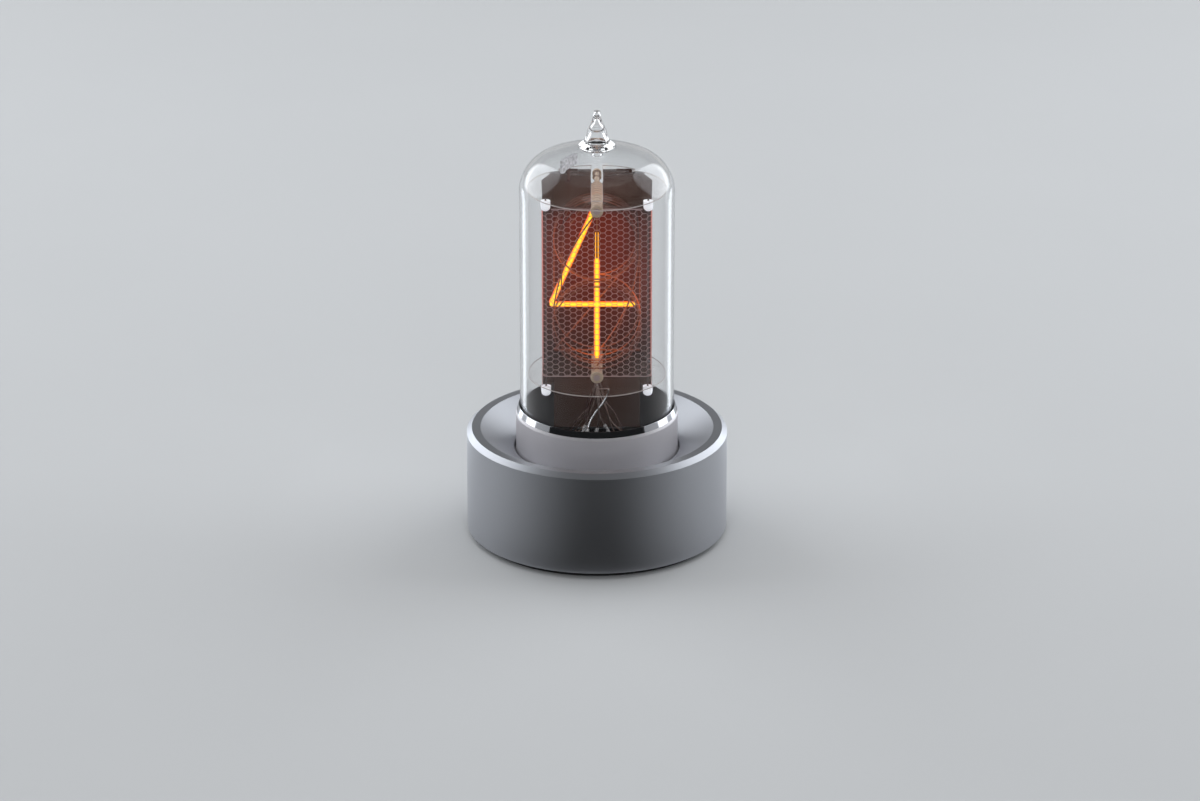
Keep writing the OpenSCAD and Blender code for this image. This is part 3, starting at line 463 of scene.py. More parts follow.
def turned_rings_group():
    """The fine rings that a lathe tool leaves round the Z axis"""
    tree, given, made = new_group(
        "turned rings", {"Rings": 4200.0, "Gloss": 0.16, "Gloss Spread": 0.08, "Ring Depth": 0.2},
        ("Roughness", "Shade", "Normal"))
    place = object_place(tree)
    rings = noise(tree, vector_of(tree, radius_of(tree, place), z=axis_of(tree, place, 2)), given["Rings"], 1, 0.4)
    feed(tree, made, Roughness=given["Gloss"] + (rings - 0.5) * given["Gloss Spread"],
         Shade=remap(tree, rings, 0.3, 0.7, 0.9, 1.0), Normal=bump(tree, rings, given["Ring Depth"], GRAIN_DEPTH))
    return tree


def speckle_group():
    """Small light and dark flecks, as in fired ceramic, rubber and moulded plastic"""
    tree, given, made = new_group("speckle", {"Scale": 2500.0, "Depth": 0.2}, ("Mask", "Cloud", "Normal"))
    place = object_place(tree)
    flecks = noise(tree, place, given["Scale"], 4, 0.65)
    feed(tree, made, Mask=remap(tree, flecks, 0.35, 0.68), Cloud=noise(tree, place, given["Scale"] / 12, 2, 0.5),
         Normal=bump(tree, flecks, given["Depth"], FLECK_DEPTH))
    return tree


# The lit numeral's strokes, worked out from the rods and the numeral itself

EYE_R = 1.7 * MM
GLOW_STEM_TOP = 34.2 * MM
FOUR_BAR_RISE = 18.6 * MM
SLOPE_IN = 0.4 * MM
digit_low = lower_z + EYE_R
digit_high = upper_z - EYE_R
lit_y = numeral_y[4]
four_low, four_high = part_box("cathode_4")
bar_z = digit_low + FOUR_BAR_RISE
lit_strokes = {
    "stem": (Vector((0, lit_y, digit_low)), Vector((0, lit_y, digit_low + GLOW_STEM_TOP))),
    "bar": (Vector((four_low.x, lit_y, bar_z)), Vector((four_high.x, lit_y, bar_z))),
    "slope": (Vector((four_low.x + SLOPE_IN, lit_y, bar_z)), Vector((0, lit_y, digit_high)))}

# The discharge's light: how far it reaches, and where it fades as (from, to, share left there).
# LOW_FADE's heights are above the lower mica, TOP_FADE's below the upper one, SIDE_FADE's places off the axis.

GLOW_REACH = 2.2 * MM
HAZE_REACH = 20 * MM
LOW_FADE = (30 * MM, -2 * MM, 0.1)
SIDE_FADE = (8 * MM, 19 * MM, 0.45)
TOP_FADE = (9 * MM, 0, 0.3)
GLOW_ORANGE = rgb(1.0, 0.17, 0.02)
HAZE_RED = rgb(0.24, 0.018, 0.004)
UNLIT = rgb(0, 0, 0)


def discharge_group():
    """How near a surface is to the lit strokes, and how far it faces them. Glow is close by, Haze reaches far."""
    tree, given, made = new_group(
        "discharge light", {"Glow Reach": GLOW_REACH, "Haze Reach": HAZE_REACH, "Wrap": 0.0}, ("Glow", "Haze"))
    place = object_place(tree)
    nearest = None
    for start, end in lit_strokes.values():
        run = end - start
        offset = vectors(tree, "SUBTRACT", place, tuple(start))
        share = vectors(tree, "DOT_PRODUCT", offset, tuple(run / run.length_squared))
        share = maths(tree, "ADD", share, 0.0, clamp=True)
        on_run = put(tree, "ShaderNodeVectorMath", {0: tuple(run), "Scale": share}, operation="SCALE")
        distance = vectors(tree, "LENGTH", vectors(tree, "SUBTRACT", offset, on_run))
        nearest = maths(tree, "MINIMUM", nearest, distance) if nearest else distance
    side = maths(tree, "SIGN", lit_y - axis_of(tree, place, 1))
    faces = remap(tree, normal_along(tree, 1) * side, -0.6, 1.0)
    turned = remap(tree, faces, 0.0, 0.35, 0.05, 1.0)
    near = maths(tree, "EXPONENT", -(nearest / given["Glow Reach"]))
    around = maths(tree, "EXPONENT", -((nearest / given["Haze Reach"]) ** 2.0))
    feed(tree, made, Glow=near * maths(tree, "MAXIMUM", faces, given["Wrap"]),
         Haze=around * maths(tree, "MAXIMUM", turned, given["Wrap"]))
    return tree


blasted_grain = blasted_grain_group()
turned_rings = turned_rings_group()
speckle = speckle_group()
discharge = discharge_group()

# Materials


def new_material(name, **plain):
    """A material with its Principled shader. plain are the values that are the same all over."""
    material = bpy.data.materials.new(name)
    material.use_nodes = True
    tree = material.node_tree
    shader = tree.nodes["Principled BSDF"]
    feed(tree, shader, **plain)
    return material, tree, shader


def glow_on(material, glow_share, haze_share, glow_reach=GLOW_REACH, haze_reach=HAZE_REACH, wrap=0.0,
            own_light=UNLIT, top_fade=TOP_FADE):
    """Adds the discharge's painted light on a part inside the tube, less of it at the sides and beyond the micas,
    over an even painted glow whose colour is given
    """
    tree = material.node_tree
    light = use_group(tree, discharge, Glow_Reach=glow_reach, Haze_Reach=haze_reach, Wrap=wrap)
    place = object_place(tree)
    height = axis_of(tree, place, 2)
    below = remap(tree, height, mica_low_z + LOW_FADE[1], mica_low_z + LOW_FADE[0], LOW_FADE[2], 1.0)
    above = remap(tree, height, mica_high_z - top_fade[0], mica_high_z - top_fade[1], 1.0, top_fade[2])
    side = remap(tree, abs(axis_of(tree, place, 0)), SIDE_FADE[0], SIDE_FADE[1], 1.0, SIDE_FADE[2])
    haze = mixed(tree, light["Haze"] * (below * above * side * haze_share), own_light, HAZE_RED)
    glow = mixed(tree, light["Glow"] * above * glow_share, haze, GLOW_ORANGE)
    feed(tree, tree.nodes["Principled BSDF"], Emission_Color=glow, Emission_Strength=1)
    return material


def feed_metal(tree, shader, dark, colour, group, **grain):
    """Gives a metal the grain or the rings of a group, with the dark colour in the pits"""
    made = use_group(tree, group, **grain)
    feed(tree, shader, Base_Color=mixed(tree, made["Shade"], dark, colour), Roughness=made["Roughness"],
         Normal=made["Normal"])


def shaded_metal(name, colour, group, metallic=1, dark_share=0.8, **grain):
    material, tree, shader = new_material(name, Metallic=metallic)
    feed_metal(tree, shader, tuple(dark_share * c for c in colour[:3]) + (1,), colour, group, **grain)
    return material


def turned_metal(name, colour, gloss=0.22):
    return shaded_metal(name, colour, turned_rings, Gloss=gloss, Ring_Depth=0.15)


def drawn_metal(name, colour, gloss=0.3):
    return shaded_metal(name, colour, blasted_grain, Gloss=gloss, Gloss_Spread=0.15, Pit_Scale=3000, Pit_Depth=0.15)


WIRE_GRAIN = {"Gloss_Spread": 0.2, "Pit_Scale": 2500, "Pit_Depth": 0.2}


def wire_metal(name, colour, gloss, glow_share, haze_share, **light):
    """Dull nickel of the parts inside the tube, lit by the discharge"""
    metal = shaded_metal(name, colour, blasted_grain, dark_share=0.7, Gloss=gloss, **WIRE_GRAIN)
    return glow_on(metal, glow_share, haze_share, **light)


def speckled(name, colour, second, roughness, scale=2500, depth=0.2, spread=0.06):
    """A matt or glazed stuff with flecks of a second colour"""
    material, tree, shader = new_material(name)
    made = use_group(tree, speckle, Scale=scale, Depth=depth)
    feed(tree, shader, Base_Color=mixed(tree, made["Mask"], colour, second), Normal=made["Normal"],
         Roughness=remap(tree, made["Cloud"], 0.3, 0.7, roughness - spread, roughness + spread))
    return material


def ceramic(name, colour, second, roughness, glow_share, haze_share, own_light=UNLIT):
    """Ceramic or milky glass inside the tube, lit by the discharge, with an even painted glow when its colour is
    given
    """
    return glow_on(speckled(name, colour, second, roughness, 2200, 0.15, 0.08), glow_share, haze_share,
                   own_light=own_light)


def board_green():
    """Solder mask over a faint grid of tracks and the weave of the laminate"""
    material, tree, shader = new_material("circuit board", Coat_Weight=0.3, Coat_Roughness=0.15)
    place = object_place(tree)
    squares = {"Vector": place, "Scale": 420.0, "Brick Width": 0.5, "Row Height": 0.25, "Mortar Size": 0.03}
    tracks = Number(tree, put(tree, "ShaderNodeTexBrick", squares).outputs["Fac"])
    weave = noise(tree, place, 1800, 2)
    feed(tree, shader, Base_Color=mixed(tree, tracks, rgb(0.02, 0.12, 0.06), rgb(0.035, 0.19, 0.09)),
         Roughness=remap(tree, weave, 0.3, 0.7, 0.35, 0.5), Normal=bump(tree, tracks + weave, 0.2, 0.04 * MM))
    return material


def clear_glass():
    """Clear glass that lets the lamps through, greyer towards its edges by painted shade, faintly streaked"""
    material, tree, shader = new_material("clear glass", Metallic=0, Transmission_Weight=1, IOR=1.5, Roughness=0,
                                          Specular_Tint=rgb(0.4, 0.4, 0.42))
    tall = put(tree, "ShaderNodeMapping", {"Vector": object_place(tree), "Scale": (1, 1, 0.12)})
    streaks = noise(tree, tall, 55, 2)
    # Painted shade: the glass is tinted grey where it is seen edge-on
    edge = remap(tree, put(tree, "ShaderNodeLayerWeight", {"Blend": 0.5}).outputs["Facing"], 0.72, 1.0)
    feed(tree, shader, Base_Color=mixed(tree, edge, rgb(0.98, 0.985, 0.99), rgb(0.42, 0.44, 0.47)),
         Normal=bump(tree, streaks, 0.05, 0.15 * MM))
    through = put(tree, "ShaderNodeBsdfTransparent", {"Color": rgb(0.95, 0.955, 0.96)})
    mix_surface(tree, put(tree, "ShaderNodeLightPath").outputs["Is Shadow Ray"], shader, through)
    return material


# The mica's milky edges, whose pale lines are partly frayed sheet and partly a painted glint: how wide they are, and
# the slot of the upper disc, which has them too

FRAY_GLINT_W = 0.1 * MM
FRAY_GLINT_END = 1.6 * FRAY_GLINT_W
MICA_SLOT_W = 3.6 * MM
MICA_SLOT_PAST = 1.2 * MM
slot_front = stack_front - MICA_SLOT_PAST
# Both discs get a painted shade, dark in a strip along the plate that they meet
PLATE_SHADE = 0.9 * MM
PLATE_SHADE_EDGE = 0.3 * MM
plate_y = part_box("anode_back")[1].y


def edge_lines(tree, place):
    """1 along the mica's rim and along both sides of the upper disc's slot, where the sheet is frayed and where a
    glint is painted
    """
    rim = remap(tree, radius_of(tree, place), mica_r - FRAY_GLINT_END, mica_r - FRAY_GLINT_W)
    beside = remap(tree, abs(axis_of(tree, place, 0)) - MICA_SLOT_W / 2, FRAY_GLINT_END, FRAY_GLINT_W)
    reached = maths(tree, "GREATER_THAN", axis_of(tree, place, 1), slot_front - FRAY_GLINT_W)
    upper = maths(tree, "GREATER_THAN", axis_of(tree, place, 2), (lower_z + upper_z) / 2)
    return maths(tree, "MAXIMUM", rim, beside * (reached * upper))


def mica_sheet():
    """Split mica: nearly clear on its faces, milky at its edges, where the pale lines are partly a painted glint,
    with brown films, a few cleavage lines and a painted shade along the plate
    """
    material, tree, shader = new_material("mica", Roughness=0.12, Specular_IOR_Level=0.35)
    place = object_place(tree)
    flat = remap(tree, abs(normal_along(tree, 2)), 0.3, 0.8) * (1.0 - edge_lines(tree, place))
    clouds = noise(tree, place, 90, 4, 0.6)
    lines = remap(tree, noise(tree, place, 260, 2), 0.49, 0.51)
    film = remap(tree, clouds, 0.35, 0.7, 0.03, 0.09) + lines * 0.012
    # Painted shade: the film is made dark and nearly solid in a strip where the discs meet the plate
    off_plate = abs(axis_of(tree, place, 1) - plate_y)
    strip = remap(tree, off_plate, PLATE_SHADE, PLATE_SHADE + PLATE_SHADE_EDGE, 1.0, 0.0)
    inside = maths(tree, "LESS_THAN", radius_of(tree, place), mica_r - FRAY_GLINT_END)
    film = maths(tree, "MAXIMUM", film, strip * inside * 0.92)
    brown = mixed(tree, strip, rgb(0.22, 0.16, 0.13), rgb(0.02, 0.014, 0.012))
    feed(tree, shader, Alpha=mix_values(tree, flat, 0.75, film),
         Base_Color=mixed(tree, flat, rgb(0.50, 0.45, 0.43), brown), Normal=bump(tree, clouds, 0.15, 0.1 * MM))
    return glow_on(material, 0.15, 0.35)


# The net's sides get a painted red light, standing in for the discharge lighting them: from where to where inwards
# from its outer face, and with less of it low down
WING_LIT = (1.2 * MM, 0.3 * MM)
WING_FADE = (30 * MM, 4 * MM, 0.25)
WING_RED = rgb(0.30, 0.03, 0.006)


def net_metal():
    """The net's grey oxidised metal, with the discharge's red light on the edges near the strokes"""
    material, tree, shader = new_material("net metal", Metallic=0.25, Specular_IOR_Level=0.6)
    feed_metal(tree, shader, rgb(0.22, 0.16, 0.155), rgb(0.32, 0.25, 0.245), blasted_grain, Gloss=0.35, **WIRE_GRAIN)
    place = object_place(tree)
    # Painted red light on the net's bent sides, less of it low down
    wing = remap(tree, abs(axis_of(tree, place, 0)), net_half - WING_LIT[0], net_half - WING_LIT[1])
    high = remap(tree, axis_of(tree, place, 2), mica_low_z + WING_FADE[1], mica_low_z + WING_FADE[0],
                 WING_FADE[2], 1.0)
    return glow_on(material, 0.35, 0.9, glow_reach=0.8 * MM, wrap=0.7,
                   own_light=mixed(tree, wing * high, UNLIT, WING_RED))


def dark_anode():
    """The blackened plate behind the numerals, brown-red where the discharge's painted light falls, with a faint even
    painted glow besides
    """
    material, tree, shader = new_material("blackened anode", Specular_IOR_Level=0.05, Roughness=0.68)
    clouds = remap(tree, noise(tree, object_place(tree), 60, 3), 0.35, 0.65)
    feed(tree, shader, Base_Color=mixed(tree, clouds, rgb(0.006, 0.004, 0.003), rgb(0.010, 0.0065, 0.005)))
    # The faint warm colour given last is an even painted glow on the plate
    return glow_on(material, 0.0, 1.0, haze_reach=23 * MM, top_fade=(16 * MM, 12 * MM, 0.12),
                   own_light=rgb(0.016, 0.0095, 0.007))


def lit_gas():
    """The glow that wraps the lit strokes: yellow in the middle and red-orange at the edge"""
    material, tree, shader = new_material("lit neon", Roughness=0.6, Emission_Strength=1.35,
                                          Base_Color=rgb(0.25, 0.05, 0.01))
    wisps = noise(tree, object_place(tree), 900, 2)
    ramp = put(tree, "ShaderNodeValToRGB", {0: (off_middle(tree) + (wisps - 0.5) * 0.05) * 2.0})
    stops = ramp.color_ramp.elements
    stops[0].position, stops[0].color = 0.28, rgb(1.0, 0.70, 0.03)
    stops[1].position, stops[1].color = 1.0, rgb(0.80, 0.035, 0.004)
    for share, colour in ((0.62, rgb(1.0, 0.42, 0.012)), (0.86, rgb(0.95, 0.13, 0.006))):
        stops.new(share).color = colour
    feed(tree, shader, Emission_Color=ramp)
    return material


finishes = {
    "anodised_aluminium": shaded_metal("blasted aluminium", rgb(0.46, 0.47, 0.50), blasted_grain),
    "button_aluminium": turned_metal("turned button", rgb(0.55, 0.56, 0.59)),
    "black_rubber": speckled("black rubber", rgb(0.012, 0.012, 0.013), rgb(0.03, 0.03, 0.031), 0.7, 3500, 0.4),
    "brass_parts": turned_metal("brass", rgb(0.70, 0.50, 0.21)),
    "screw_steel": drawn_metal("screw steel", rgb(0.50, 0.49, 0.48)),
    "stamped_steel": drawn_metal("stamped steel", rgb(0.58, 0.58, 0.59), 0.26),
    "circuit_board": board_green(),
    "black_plastic": speckled("black plastic", rgb(0.014, 0.014, 0.015), rgb(0.03, 0.03, 0.032), 0.42, 4000, 0.15),
    "ferrite": speckled("ferrite", rgb(0.03, 0.03, 0.03), rgb(0.07, 0.07, 0.07), 0.62, 3000, 0.3),
    "capacitor_sleeve": speckled("capacitor sleeve", rgb(0.01, 0.012, 0.03), rgb(0.02, 0.022, 0.045), 0.3, 900, 0.05),
    "socket_ceramic": speckled("socket ceramic", rgb(0.72, 0.70, 0.64), rgb(0.82, 0.80, 0.75), 0.45),
    "white_plastic": speckled("white plastic", rgb(0.70, 0.69, 0.66), rgb(0.78, 0.77, 0.74), 0.4, 4000, 0.1),
    "clear_glass": clear_glass(),
    "pin_metal": drawn_metal("pin metal", rgb(0.6, 0.57, 0.52), 0.25),
    "lead_metal": wire_metal("lead metal", rgb(0.24, 0.18, 0.16), 0.35, 0.3, 0.6),
    "mica_sheet": mica_sheet(),
    "anode_metal": wire_metal("anode metal", rgb(0.40, 0.31, 0.30), 0.42, 0.5, 0.6),
    "net_metal": net_metal(),
    # The beads' last colour is an even painted glow, standing in for their being brightly lit
    "white_glass": ceramic("white glass", rgb(0.93, 0.93, 0.94), rgb(0.97, 0.97, 0.98), 0.2, 0.15, 0.15,
                           rgb(0.24, 0.24, 0.27)),
    "spacer_ceramic": ceramic("spacer ceramic", rgb(0.36, 0.27, 0.19), rgb(0.47, 0.37, 0.28), 0.5, 0.5, 0.6),
    "getter_metal": speckled("getter metal", rgb(0.34, 0.34, 0.36), rgb(0.85, 0.85, 0.88), 0.35, 1100, 0.3),
    "cathode_metal": wire_metal("cathode metal", rgb(0.07, 0.052, 0.05), 0.4, 0.9, 0.2, glow_reach=7 * MM, wrap=0.4,
                                top_fade=(16 * MM, 10 * MM, 0.2)),
    "post_metal": wire_metal("post metal", rgb(0.12, 0.09, 0.085), 0.4, 0.2, 0.5),
    "lit_numeral": lit_gas()}
# Finishes of single nodes, whatever their slot says
node_finishes = {
    "anode_back": dark_anode(),
    "cathode_4": wire_metal("lit strap", rgb(0.3, 0.12, 0.06), 0.5, 0.9, 1.0),
    "getter_bracket": finishes["cathode_metal"],
    "corner_posts": finishes["post_metal"]}
collar_finish = shaded_metal("blasted collar", rgb(0.68, 0.66, 0.69), blasted_grain, metallic=0.55)
bevel_finish = shaded_metal("polished bevel", rgb(0.50, 0.51, 0.54), turned_rings, Gloss=0.07, Gloss_Spread=0.04,
                            Ring_Depth=0.04)
# The bore is painted dark, as shade where the gap beside the glass shows dark
bore_shade_finish = turned_metal("bore painted shade", rgb(0.17, 0.16, 0.16), 0.35)

for part in frame["record"]["subparts"]:
    for place in frame["nodes"][part["node"]].material_slots:
        place.material = node_finishes.get(part["node"], finishes[part["material_slot"]])


def add_piece(name, mesh, slot, body, *nodes, finish=None):
    """A piece of the clock in its place, with its finish, its body and the nodes that it stands for"""
    thing = add_object(name, mesh)
    if not mesh.materials:
        mesh.materials.append(finish or finishes[slot])
    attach(thing, body)
    if nodes:
        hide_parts(*nodes)


# Base and collar

RIM_CHAMFER = (1.7 * MM, 1.5 * MM)
RIM_W = 2.8 * MM
DISH_DROP = 6.65 * MM
ROOF_T = 2.6 * MM
BASE_WALL = 3 * MM
REBATE_W = 1 * MM
COLLAR_WALL = 1.13 * MM
COLLAR_GAP = 0.65 * MM
GLASS_GAP = 0.25 * MM
bore_r = glass_r + GLASS_GAP
collar_r = bore_r + COLLAR_WALL
dish_r = collar_r + COLLAR_GAP
dish_z = rim_z - DISH_DROP
roof_z = dish_z - ROOF_T
BUTTON_R = 2.4 * MM
BUTTON_GAP = 0.08 * MM
HOLE_CHAMFER = 0.3 * MM
BUTTON_ANGLE = 28
button_z = middle("set_button_cap").z
INLET_GAP = 0.3 * MM
CUTTER_PAST = 2 * MM
inlet_low, inlet_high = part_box("inlet_shell")


def at_button(side):
    """Turns +X to the button on one side of the back: -1 is the left one seen from the front"""
    turn = Matrix.Rotation(math.radians(90 - side * BUTTON_ANGLE), 4, "Z")
    return Matrix.Translation((0, 0, button_z)) @ turn @ Matrix.Rotation(math.radians(90), 4, "Y")


def button_hole_cutter():
    r = BUTTON_R + BUTTON_GAP
    near = base_r - 3 * BASE_WALL
    far = base_r + CUTTER_PAST
    return lathe("button_hole", [
        (0, near), (r, near), (r, base_r - HOLE_CHAMFER - BUTTON_GAP),
        (r + HOLE_CHAMFER + far - base_r, far - BUTTON_GAP), (0, far - BUTTON_GAP)], segments=64)


def slot_prism(width, height, y0, y1, z):
    """A prism with round ends across X, from y0 to y1"""
    radius = height / 2
    half = width / 2 - radius
    outline = arc((half, z), radius, -90, 90, 24) + arc((-half, z), radius, 90, 270, 24)
    work = bmesh.new()
    skin(work, [[work.verts.new((x, y, h)) for x, h in outline] for y in (y0, y1)])
    return as_mesh(work, "slot_prism")


def cut(thing, cutters):
    """Cuts the shapes out of the object"""
    tools = []
    for mesh in cutters:
        tool = add_object("cutter", mesh)
        step = thing.modifiers.new("cut", "BOOLEAN")
        step.object = tool
        step.operation = "DIFFERENCE"
        step.solver = "EXACT"
        tools.append(tool)
    bake_modifiers(thing)
    for tool in tools:
        bpy.data.objects.remove(tool)


def make_base():
    rim_out = base_r - RIM_CHAMFER[0]
    cavity_r = base_r - BASE_WALL
    outline = softened([
        (cavity_r + REBATE_W, base_low, 0),
        (base_r, base_low, 0.4 * MM),
        (base_r, rim_z - RIM_CHAMFER[1], 0.12 * MM),
        (rim_out, rim_z, 0.12 * MM),
        (rim_out - RIM_W, rim_z, 0.25 * MM),
        (dish_r, dish_z, 0.1 * MM),
        (dish_r, roof_z, 0),
        (cavity_r, roof_z, 0),
        (cavity_r, plate_top, 0),
        (cavity_r + REBATE_W, plate_top, 0)])
    thing = add_object("turned_base", lathe("turned_base", outline, 288))
    centre_z = (inlet_low.z + inlet_high.z) / 2
    wide = inlet_high.x - inlet_low.x + 2 * INLET_GAP
    tall = inlet_high.z - inlet_low.z + 2 * INLET_GAP
    slot = slot_prism(wide, tall, base_r - 3 * BASE_WALL, base_r + BASE_WALL, centre_z)
    holes = [moved(button_hole_cutter(), at_button(side)) for side in (-1, 1)]
    cut(thing, [slot] + holes)
    mesh = finish_shading(thing.data)
    bpy.data.objects.remove(thing)
    add_piece("turned_base", mesh, "anodised_aluminium", "base", "base_shell")


BEVEL_H = 2 * MM
BEVEL_ROUND_H = 0.9 * MM
BEVEL_LAND = 0.15 * MM
BEVEL_FOOT_SHARE = 0.75
FLANGE_T = 2.4 * MM
SKIRT_R = 29.4 * MM
GASKET_GROOVE = (1.75 * MM, 1.75 * MM)
GASKET_HALF_H = 0.8 * MM
GROOVE_ROUND = 0.2 * MM
gasket_low, gasket_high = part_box("collar_gaskets")
# Which faces are polished, and which get the bore's dark painted shade: the bevel's from just under its foot, the
# bore's from just under the mouth
BEVEL_SLACK = 0.03 * MM
MOUTH_SLACK = 0.1 * MM
BORE_SLACK = 0.02 * MM


def make_collar():
    """The collar with its polished bevel, flange and skirt, and a groove for each gasket"""
    bevel_r = bore_r + BEVEL_FOOT_SHARE * COLLAR_WALL
    depth, tall = GASKET_GROOVE
    grooves = []
    for z in (gasket_high.z - GASKET_HALF_H, gasket_low.z + GASKET_HALF_H):
        grooves += [(bore_r, z + tall / 2, 0), (bore_r + depth, z + tall / 2, GROOVE_ROUND),
                    (bore_r + depth, z - tall / 2, GROOVE_ROUND), (bore_r, z - tall / 2, 0)]
    outline = softened([
        (bore_r, collar_low, 0),
        (SKIRT_R, collar_low, 0),
        (SKIRT_R, roof_z - FLANGE_T, 0),
        (flange_r, roof_z - FLANGE_T, 0),
        (flange_r, roof_z, 0),
        (collar_r, roof_z, 0),
        (collar_r, mouth_z - BEVEL_H - BEVEL_ROUND_H, 0.5 * MM),
        (bevel_r, mouth_z - BEVEL_H, 0.06 * MM),
        (bore_r + BEVEL_LAND, mouth_z, 0.05 * MM),
        (bore_r, mouth_z, 0.04 * MM)] + grooves)
    mesh = lathe("turned_collar", outline, segments=288, margin=0.08 * MM)
    for finish in (collar_finish, bevel_finish, bore_shade_finish):
        mesh.materials.append(finish)
    for face in mesh.polygons:
        radius = face.center.xy.length
        if face.center.z > mouth_z - BEVEL_H - BEVEL_SLACK and radius > bore_r:
            face.material_index = 1
        # The bore's faces get the dark painted shade
        if face.center.z < mouth_z - MOUTH_SLACK and radius < bore_r + BORE_SLACK:
            face.material_index = 2
    add_piece("turned_collar", mesh, "anodised_aluminium", "base", "tube_collar")


BUTTON_EDGE = 0.25 * MM
BUTTON_DISH = 0.18 * MM
BUTTON_FLANGE_R = 3.3 * MM
BUTTON_FLANGE_T = 0.8 * MM
BUTTON_STEM_R = 1.4 * MM
BUTTON_STEM_IN = 1.4 * MM
BUTTON_SUNK = 0.15 * MM
BUTTON_PLAY = 0.3 * MM


def make_button(name, side, body, node):
    """A turned button with a dished face, its flange and stem, built along its own axis"""
    face = base_r - BUTTON_SUNK
    flange = base_r - BASE_WALL - BUTTON_PLAY
    stem_end = flange - BUTTON_FLANGE_T - BUTTON_STEM_IN
    outline = softened([
        (0, stem_end, 0),
        (BUTTON_STEM_R, stem_end, 0.1 * MM),
        (BUTTON_STEM_R, flange - BUTTON_FLANGE_T, 0),
        (BUTTON_FLANGE_R, flange - BUTTON_FLANGE_T, 0.1 * MM),
        (BUTTON_FLANGE_R, flange, 0.1 * MM),
        (BUTTON_R, flange, 0),
        (BUTTON_R, face - BUTTON_EDGE, 0.05 * MM),
        (BUTTON_R - BUTTON_EDGE, face, 0.08 * MM),
        (BUTTON_R - 2 * BUTTON_EDGE, face, 0.05 * MM),
        (0, face - BUTTON_DISH, 0)])
    mesh = moved(lathe(name, outline, segments=96, margin=0.05 * MM), at_button(side))
    add_piece(name, mesh, "button_aluminium", body, node)


make_base()
make_collar()
make_button("set_button", -1, "set_button", "set_button_cap")
make_button("mode_button", 1, "mode_button", "mode_button_cap")

# Glass bulb with its drawn tip

GLASS_WALL = 1.2 * MM
GLASS_FOOT_ROUND = 0.8 * MM
DOME_SHOULDER_R = 12.5 * MM
DOME_CROWN_R = 45 * MM
# The tip's outside as shares of its flare radius and of its height above the dome, from the flare upwards
TIP_SHARES = [
    (0.90, -0.035), (0.985, -0.02), (1.0, 0.012), (0.97, 0.045), (0.86, 0.085), (0.745, 0.14), (0.66, 0.2),
    (0.60, 0.265), (0.55, 0.32), (0.535, 0.375), (0.525, 0.42), (0.50, 0.465), (0.45, 0.52), (0.375, 0.58),
    (0.31, 0.655), (0.255, 0.73), (0.21, 0.79), (0.188, 0.83), (0.198, 0.87), (0.208, 0.91), (0.19, 0.955),
    (0.13, 0.985), (0, 1)]
# A small bubble closed off in the ball at the end
TIP_BUBBLE_SHARES = [(0, 0.95), (0.07, 0.942), (0.115, 0.915), (0.12, 0.885), (0.085, 0.85), (0.03, 0.82), (0, 0.81)]
# The hollow inside the tip, from its upper end down to the small neck inside the dome
TIP_HOLLOW_SHARES = [
    (0, 0.76), (0.05, 0.745), (0.1, 0.7), (0.15, 0.63), (0.25, 0.56), (0.31, 0.49), (0.3, 0.42), (0.36, 0.3),
    (0.45, 0.2), (0.52, 0.11), (0.49, 0.04), (0.36, -0.02), (0.25, -0.06), (0.19, -0.11), (0.18, -0.2),
    (0.2, -0.28), (0.26, -0.3), (0.3, -0.27), (0.27, -0.22), (0.25, -0.17), (0.29, -0.125), (0.38, -0.108)]
TIP_FLARE_R = 6.05 * MM
# Where the dome's outside and inside end under the tip, as shares of the flare radius
DOME_END_SHARE = 0.93
DOME_INSIDE_END_SHARE = 0.5
DOME_STEPS = 40
dome_z = dome_top - DOME_CROWN_R + math.sqrt((DOME_CROWN_R - DOME_SHOULDER_R) ** 2 - (glass_r - DOME_SHOULDER_R) ** 2)
shoulder_turn = math.degrees(math.atan2(dome_z - dome_top + DOME_CROWN_R, glass_r - DOME_SHOULDER_R))


def dome_line(inset, end_r):
    """The dome from its straight wall up to radius end_r, set in by inset"""
    crown = DOME_CROWN_R - inset
    end = math.degrees(math.acos(end_r / crown))
    return (arc((glass_r - DOME_SHOULDER_R, dome_z), DOME_SHOULDER_R - inset, 0, shoulder_turn, DOME_STEPS)
            + arc((0, dome_top - DOME_CROWN_R), crown, shoulder_turn, end, DOME_STEPS // 2)[1:])


def tip_line(shares, steps=5):
    tip_h = tip_top - dome_top
    return [(r * TIP_FLARE_R, dome_top + z * tip_h) for r, z in eased(shares, steps)]


def make_bulb():
    """The bulb as one turned shell with a rounded foot, its tip with the hollow inside, and the bubble in its end"""
    tip = tip_line(TIP_SHARES)
    tip[-1] = (0, tip_top)
    hollow = tip_line(TIP_HOLLOW_SHARES)
    hollow[0] = (0, hollow[0][1])
    foot_r = glass_r - GLASS_FOOT_ROUND
    outside = [(foot_r, glass_low)] + arc((foot_r, glass_low + GLASS_FOOT_ROUND), GLASS_FOOT_ROUND, -60, 0, 5)
    outside += dome_line(0, DOME_END_SHARE * TIP_FLARE_R)
    inside = list(reversed(dome_line(GLASS_WALL, DOME_INSIDE_END_SHARE * TIP_FLARE_R)))
    inside += [(glass_r - GLASS_WALL, glass_low)]
    bubble = lathe("bubble", tip_line(TIP_BUBBLE_SHARES, 4), segments=48)
    bubble.flip_normals()
    bulb = lathe("bulb", outside + tip + hollow + inside, segments=160, margin=1.5 * MM)
    mesh = finish_shading(joined("glass_bulb", [bulb, bubble]), sharp=60)
    add_piece("glass_bulb", mesh, "clear_glass", "tube", "glass_envelope", "exhaust_tip")


make_bulb()

# Honeycomb net of the anode, cut back round the upper beads of the corner posts

